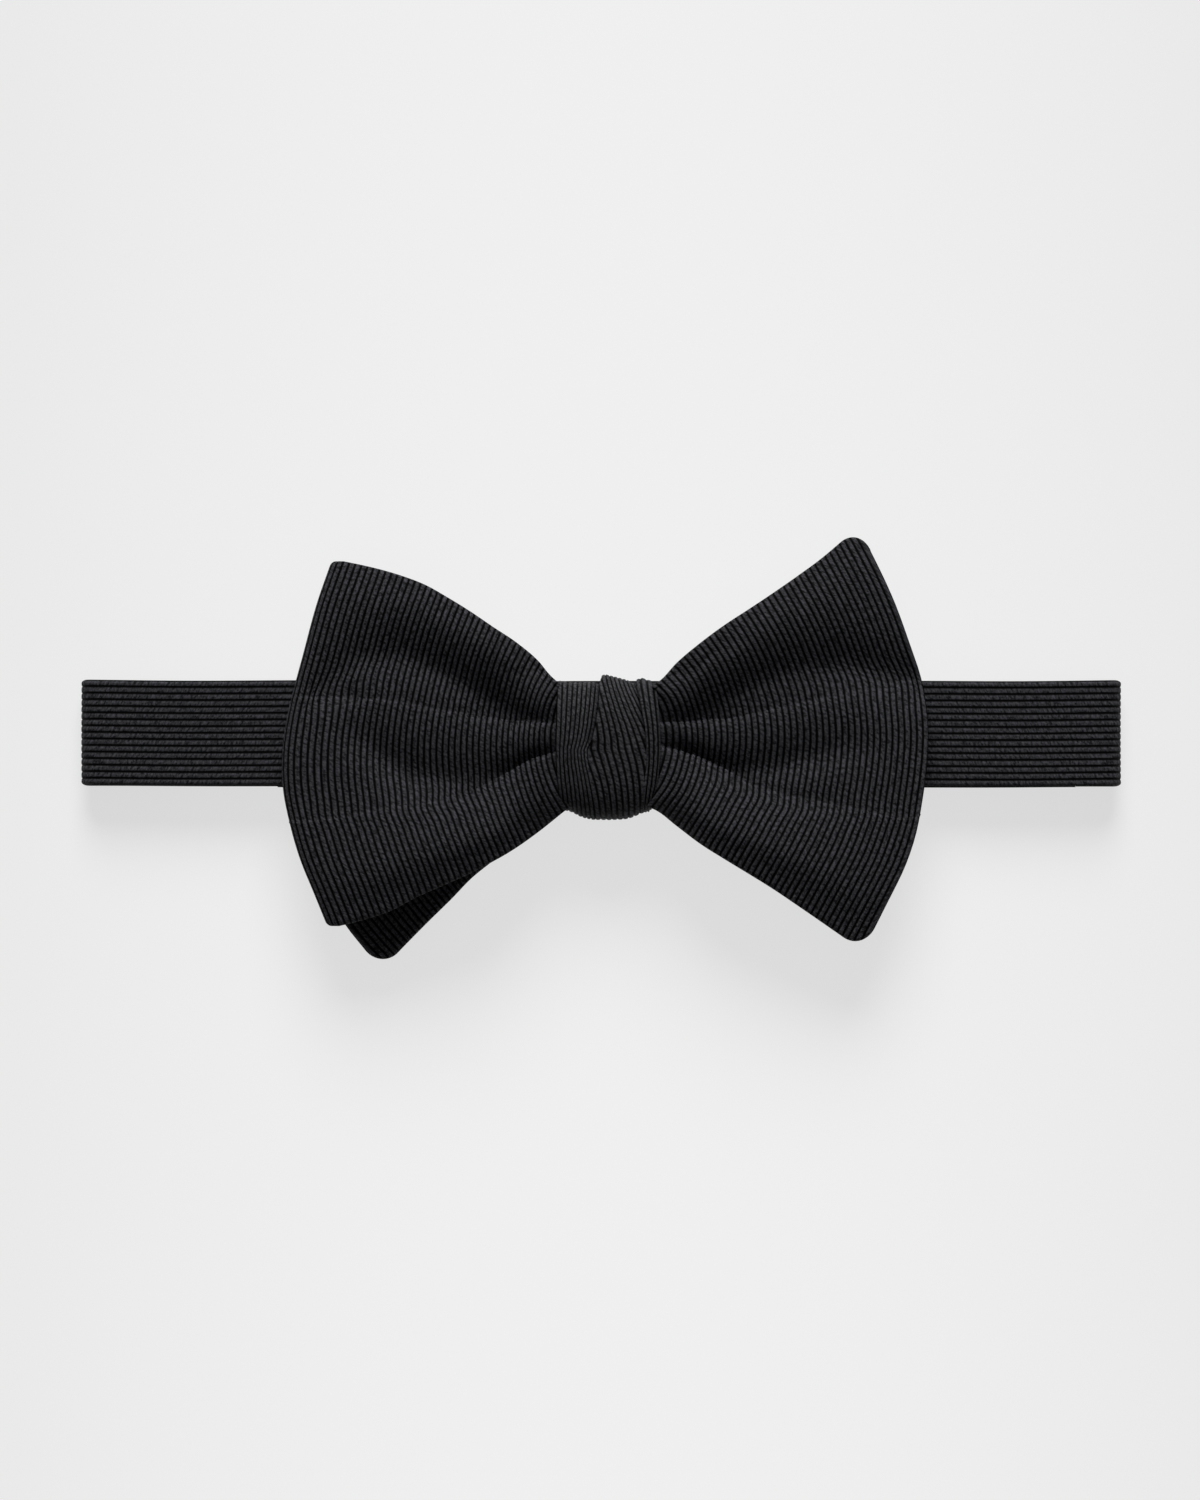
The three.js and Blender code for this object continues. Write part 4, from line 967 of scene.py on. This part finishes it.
tab_line = band_line([(-92, 1.52, 0.2), (-66, 1.52, 0.2)], step=0.8)
tab_line[:, 1] += 0.05 * np.sin(tab_line[:, 0] / 2.3)
size_tab = webbing("woven_size_tab", tab_line, -6, 6, satin(), depth=0.0, wave=0.0)
hand_over(size_tab, "hook_strap", "tab_satin", "size_tab")
chains = [np.stack([x + 0 * arch, y + 0.8 * arch, 1.7 + 0.1 * (1 - arch**2)], -1)
          for x in (-91.2, -66.8) for y in (-4.6, -2.3, 0, 2.3, 4.6)]
tab_tacks = stitches("size_tab_tacks", chains, 0.12, black_thread)
hand_over(tab_tacks, "hook_strap", "thread")

# ---------------------------------------------------------------------------------------------------------
# Hook, eye and slide. Steel wire and stamped steel strip, nickel plated and tumbled smooth.

WIRE = 0.75


def nickel():
    """Bright nickel plate: a warm white mirror, slightly blurred by tumbling."""
    material, tree = empty_material("nickel_plate")
    place = add(tree, "ShaderNodeTexCoord").outputs["Object"]
    wear = add(tree, "ShaderNodeTexNoise", {"Vector": place, "Scale": 900.0, "Detail": 4.0}).outputs[0]
    rough = add(tree, "ShaderNodeMapRange", {0: wear, 3: 0.14, 4: 0.3}).outputs[0]
    bump = add(tree, "ShaderNodeBump", {"Height": wear, "Strength": 0.12, "Distance": 0.00005}).outputs[0]
    shader = add(tree, "ShaderNodeBsdfPrincipled", {"Base Color": colour("d3cec4"), "Metallic": 1.0,
                                                    "Roughness": rough, "Normal": bump})
    add(tree, "ShaderNodeOutputMaterial", {0: shader.outputs[0]})
    return material


nickel_plate = nickel()


def round_corners(half_x, half_y, corner, steps=9):
    """Points round a rectangle with round corners, and the outward direction at each."""
    points, ways = [], []
    for quarter, (sx, sy) in enumerate(((1, 1), (-1, 1), (-1, -1), (1, -1))):
        for a in np.radians(90 * quarter + np.linspace(0, 90, steps)):
            ways.append((math.cos(a), math.sin(a)))
            points.append((sx * (half_x - corner) + corner * math.cos(a),
                           sy * (half_y - corner) + corner * math.sin(a)))
    return np.array(points), np.array(ways)


def wire_ring(name, left, right, half, z, radius, corner):
    """A ring of round wire whose two bars are centred on x = left and x = right."""
    points, ways = round_corners((right - left) / 2, half, corner)
    middle = (left + right) / 2
    turn = np.linspace(0, 2 * np.pi, 20, endpoint=False)
    out, up = radius * np.cos(turn), radius * np.sin(turn)
    rings = np.stack([middle + points[:, :1] + ways[:, :1] * out, points[:, 1:] + ways[:, 1:] * out,
                      np.broadcast_to(z + up, (len(points), len(turn)))], -1)
    return skin(name, rings, 0, 0, 0, closed=True)


def stamped_strip(name, line, half, edge):
    """A strip of sheet metal along a line of [x, z, half thickness], with rounded edges."""
    way = np.gradient(line[:, :2], axis=0)
    way /= np.hypot(*way.T)[:, None]
    shares = [(-half + edge * (1 - math.cos(a)), math.sin(a)) for a in np.radians(np.linspace(8, 90, 6))]
    y = np.array([s[0] for s in shares] + [-s[0] for s in shares[::-1]])
    full = np.array([s[1] for s in shares] + [s[1] for s in shares[::-1]])
    y, full = np.r_[y, y[::-1]], np.r_[full, -full[::-1]]
    off = line[:, 2:3] * full
    rings = np.stack([line[:, :1] - way[:, 1:] * off, np.broadcast_to(y, off.shape),
                      line[:, 1:2] + way[:, :1] * off], -1)
    return skin(name, rings, 0, 0, 0)


hook_ring = wire_ring("hook_ring", -50, -44.5, 11.25, 1.75, WIRE, 1.1)
tongue_line = band_line([(-44.5, 1.6, 1.2), (-38, 1.6, 1.2), ("arc", -38, 3.15, 1.55, -90, 90, 1.2),
                         (-41, 4.7, 1.1), (-42.2, 4.86, 0.9), (-42.6, 4.9, 0.5)], step=0.7)
hook_tongue = stamped_strip("hook_tongue", tongue_line, 4.0, 0.5)
eye_ring = wire_ring("eye_ring", -21.2, -12.2, 11.25, 1.75, WIRE, 1.1)
SLIDE_X, SLIDE_Z = 30, 2.5
PIN_RADIUS = 0.5
pin_turn = np.linspace(0, 2 * np.pi, 16, endpoint=False)
pin_x, pin_z = SLIDE_X + PIN_RADIUS * np.cos(pin_turn), SLIDE_Z + PIN_RADIUS * np.sin(pin_turn)
pin_y = np.array([-10.4, 10.4])[:, None]
pin_rings = np.stack(np.broadcast_arrays(pin_x, pin_y, pin_z), -1)
slide_bar = skin("slide_bar", pin_rings, 0, 0, 0)
outer, out_way = round_corners(6.35, 12.3, 1.5)
hole, _ = round_corners(4.65, 10.5, 0.4)
BEVEL = 0.22
frame_rings = []
for points, inward, z in ((outer, 0, 2 + BEVEL), (outer, 0, 3 - BEVEL), (outer, BEVEL, 3), (hole, -BEVEL, 3),
                          (hole, 0, 3 - BEVEL), (hole, 0, 2 + BEVEL), (hole, -BEVEL, 2), (outer, BEVEL, 2)):
    frame_rings.append(np.c_[points - out_way * inward + [SLIDE_X, 0], np.full(len(points), z)])
slide_plate = skin("slide_plate", np.stack(frame_rings, 1), 0, 0, 0, closed=True)
for piece, body, nodes in ((hook_ring, "hook", ["hook"]), (hook_tongue, "hook", []),
                           (eye_ring, "eye", ["eye"]), (slide_plate, "slide", ["slide_frame"]),
                           (slide_bar, "slide", ["slide_pin"])):
    dye(piece, nickel_plate)
    hand_over(piece, body, "nickel", *nodes)

# ---------------------------------------------------------------------------------------------------------
# Surface, light and camera. A board of white acrylic lit from beneath, a broad soft light from beyond the
# top of the tie, a weaker one overhead, and the camera straight above.

bpy.ops.mesh.primitive_plane_add(size=8)
table = bpy.context.object
table.name = "table"
board = bpy.data.materials.new("lit_white_acrylic")
board.use_nodes = True
paint = board.node_tree.nodes["Principled BSDF"].inputs
paint["Base Color"].default_value = colour("8c8c8c")
paint["Roughness"].default_value = 0.9
paint["Specular IOR Level"].default_value = 0.0
paint["Emission Color"].default_value = (1, 1, 1, 1)
# It glows a little less to the left and right.
tree = board.node_tree
spot = add(tree, "ShaderNodeTexCoord").outputs["Object"]
beside = add(tree, "ShaderNodeSeparateXYZ", {0: spot}).outputs[0]
square = add(tree, "ShaderNodeMath", {0: beside, 1: beside}, operation="MULTIPLY").outputs[0]
glow = add(tree, "ShaderNodeMapRange", {0: square, 2: 0.0125, 3: 0.69, 4: 0.645}, clamp=True).outputs[0]
tree.links.new(glow, paint["Emission Strength"])
table.data.materials.append(board)

world = bpy.data.worlds.new("studio")
bpy.context.scene.world = world
world.use_nodes = True
sky = world.node_tree.nodes["Background"].inputs
sky["Color"].default_value = (1, 1, 1, 1)
sky["Strength"].default_value = 0.07
for name, tilt, spread, power in (("key", 56, 32, 3.1), ("overhead", 5, 60, 0.15)):
    lamp = bpy.data.lights.new(name, "SUN")
    lamp.angle = math.radians(spread)
    lamp.energy = power
    sun = bpy.data.objects.new(name, lamp)
    bpy.context.collection.objects.link(sun)
    sun.rotation_euler = (-math.radians(tilt), 0, 0)

VIEW_HEIGHT = 0.285
VIEW_DISTANCE = 3.0
camera_data = bpy.data.cameras.new("overhead")
camera_data.sensor_fit = "VERTICAL"
camera_data.angle = 2 * math.atan(VIEW_HEIGHT / 2 / (VIEW_DISTANCE - BAND_TOP * MM))
camera_data.clip_end = 20
camera = bpy.data.objects.new("overhead", camera_data)
camera.location = (-0.0006, -0.0033, VIEW_DISTANCE)
bpy.context.collection.objects.link(camera)
bpy.context.scene.camera = camera
bpy.context.scene.view_settings.view_transform = "Standard"
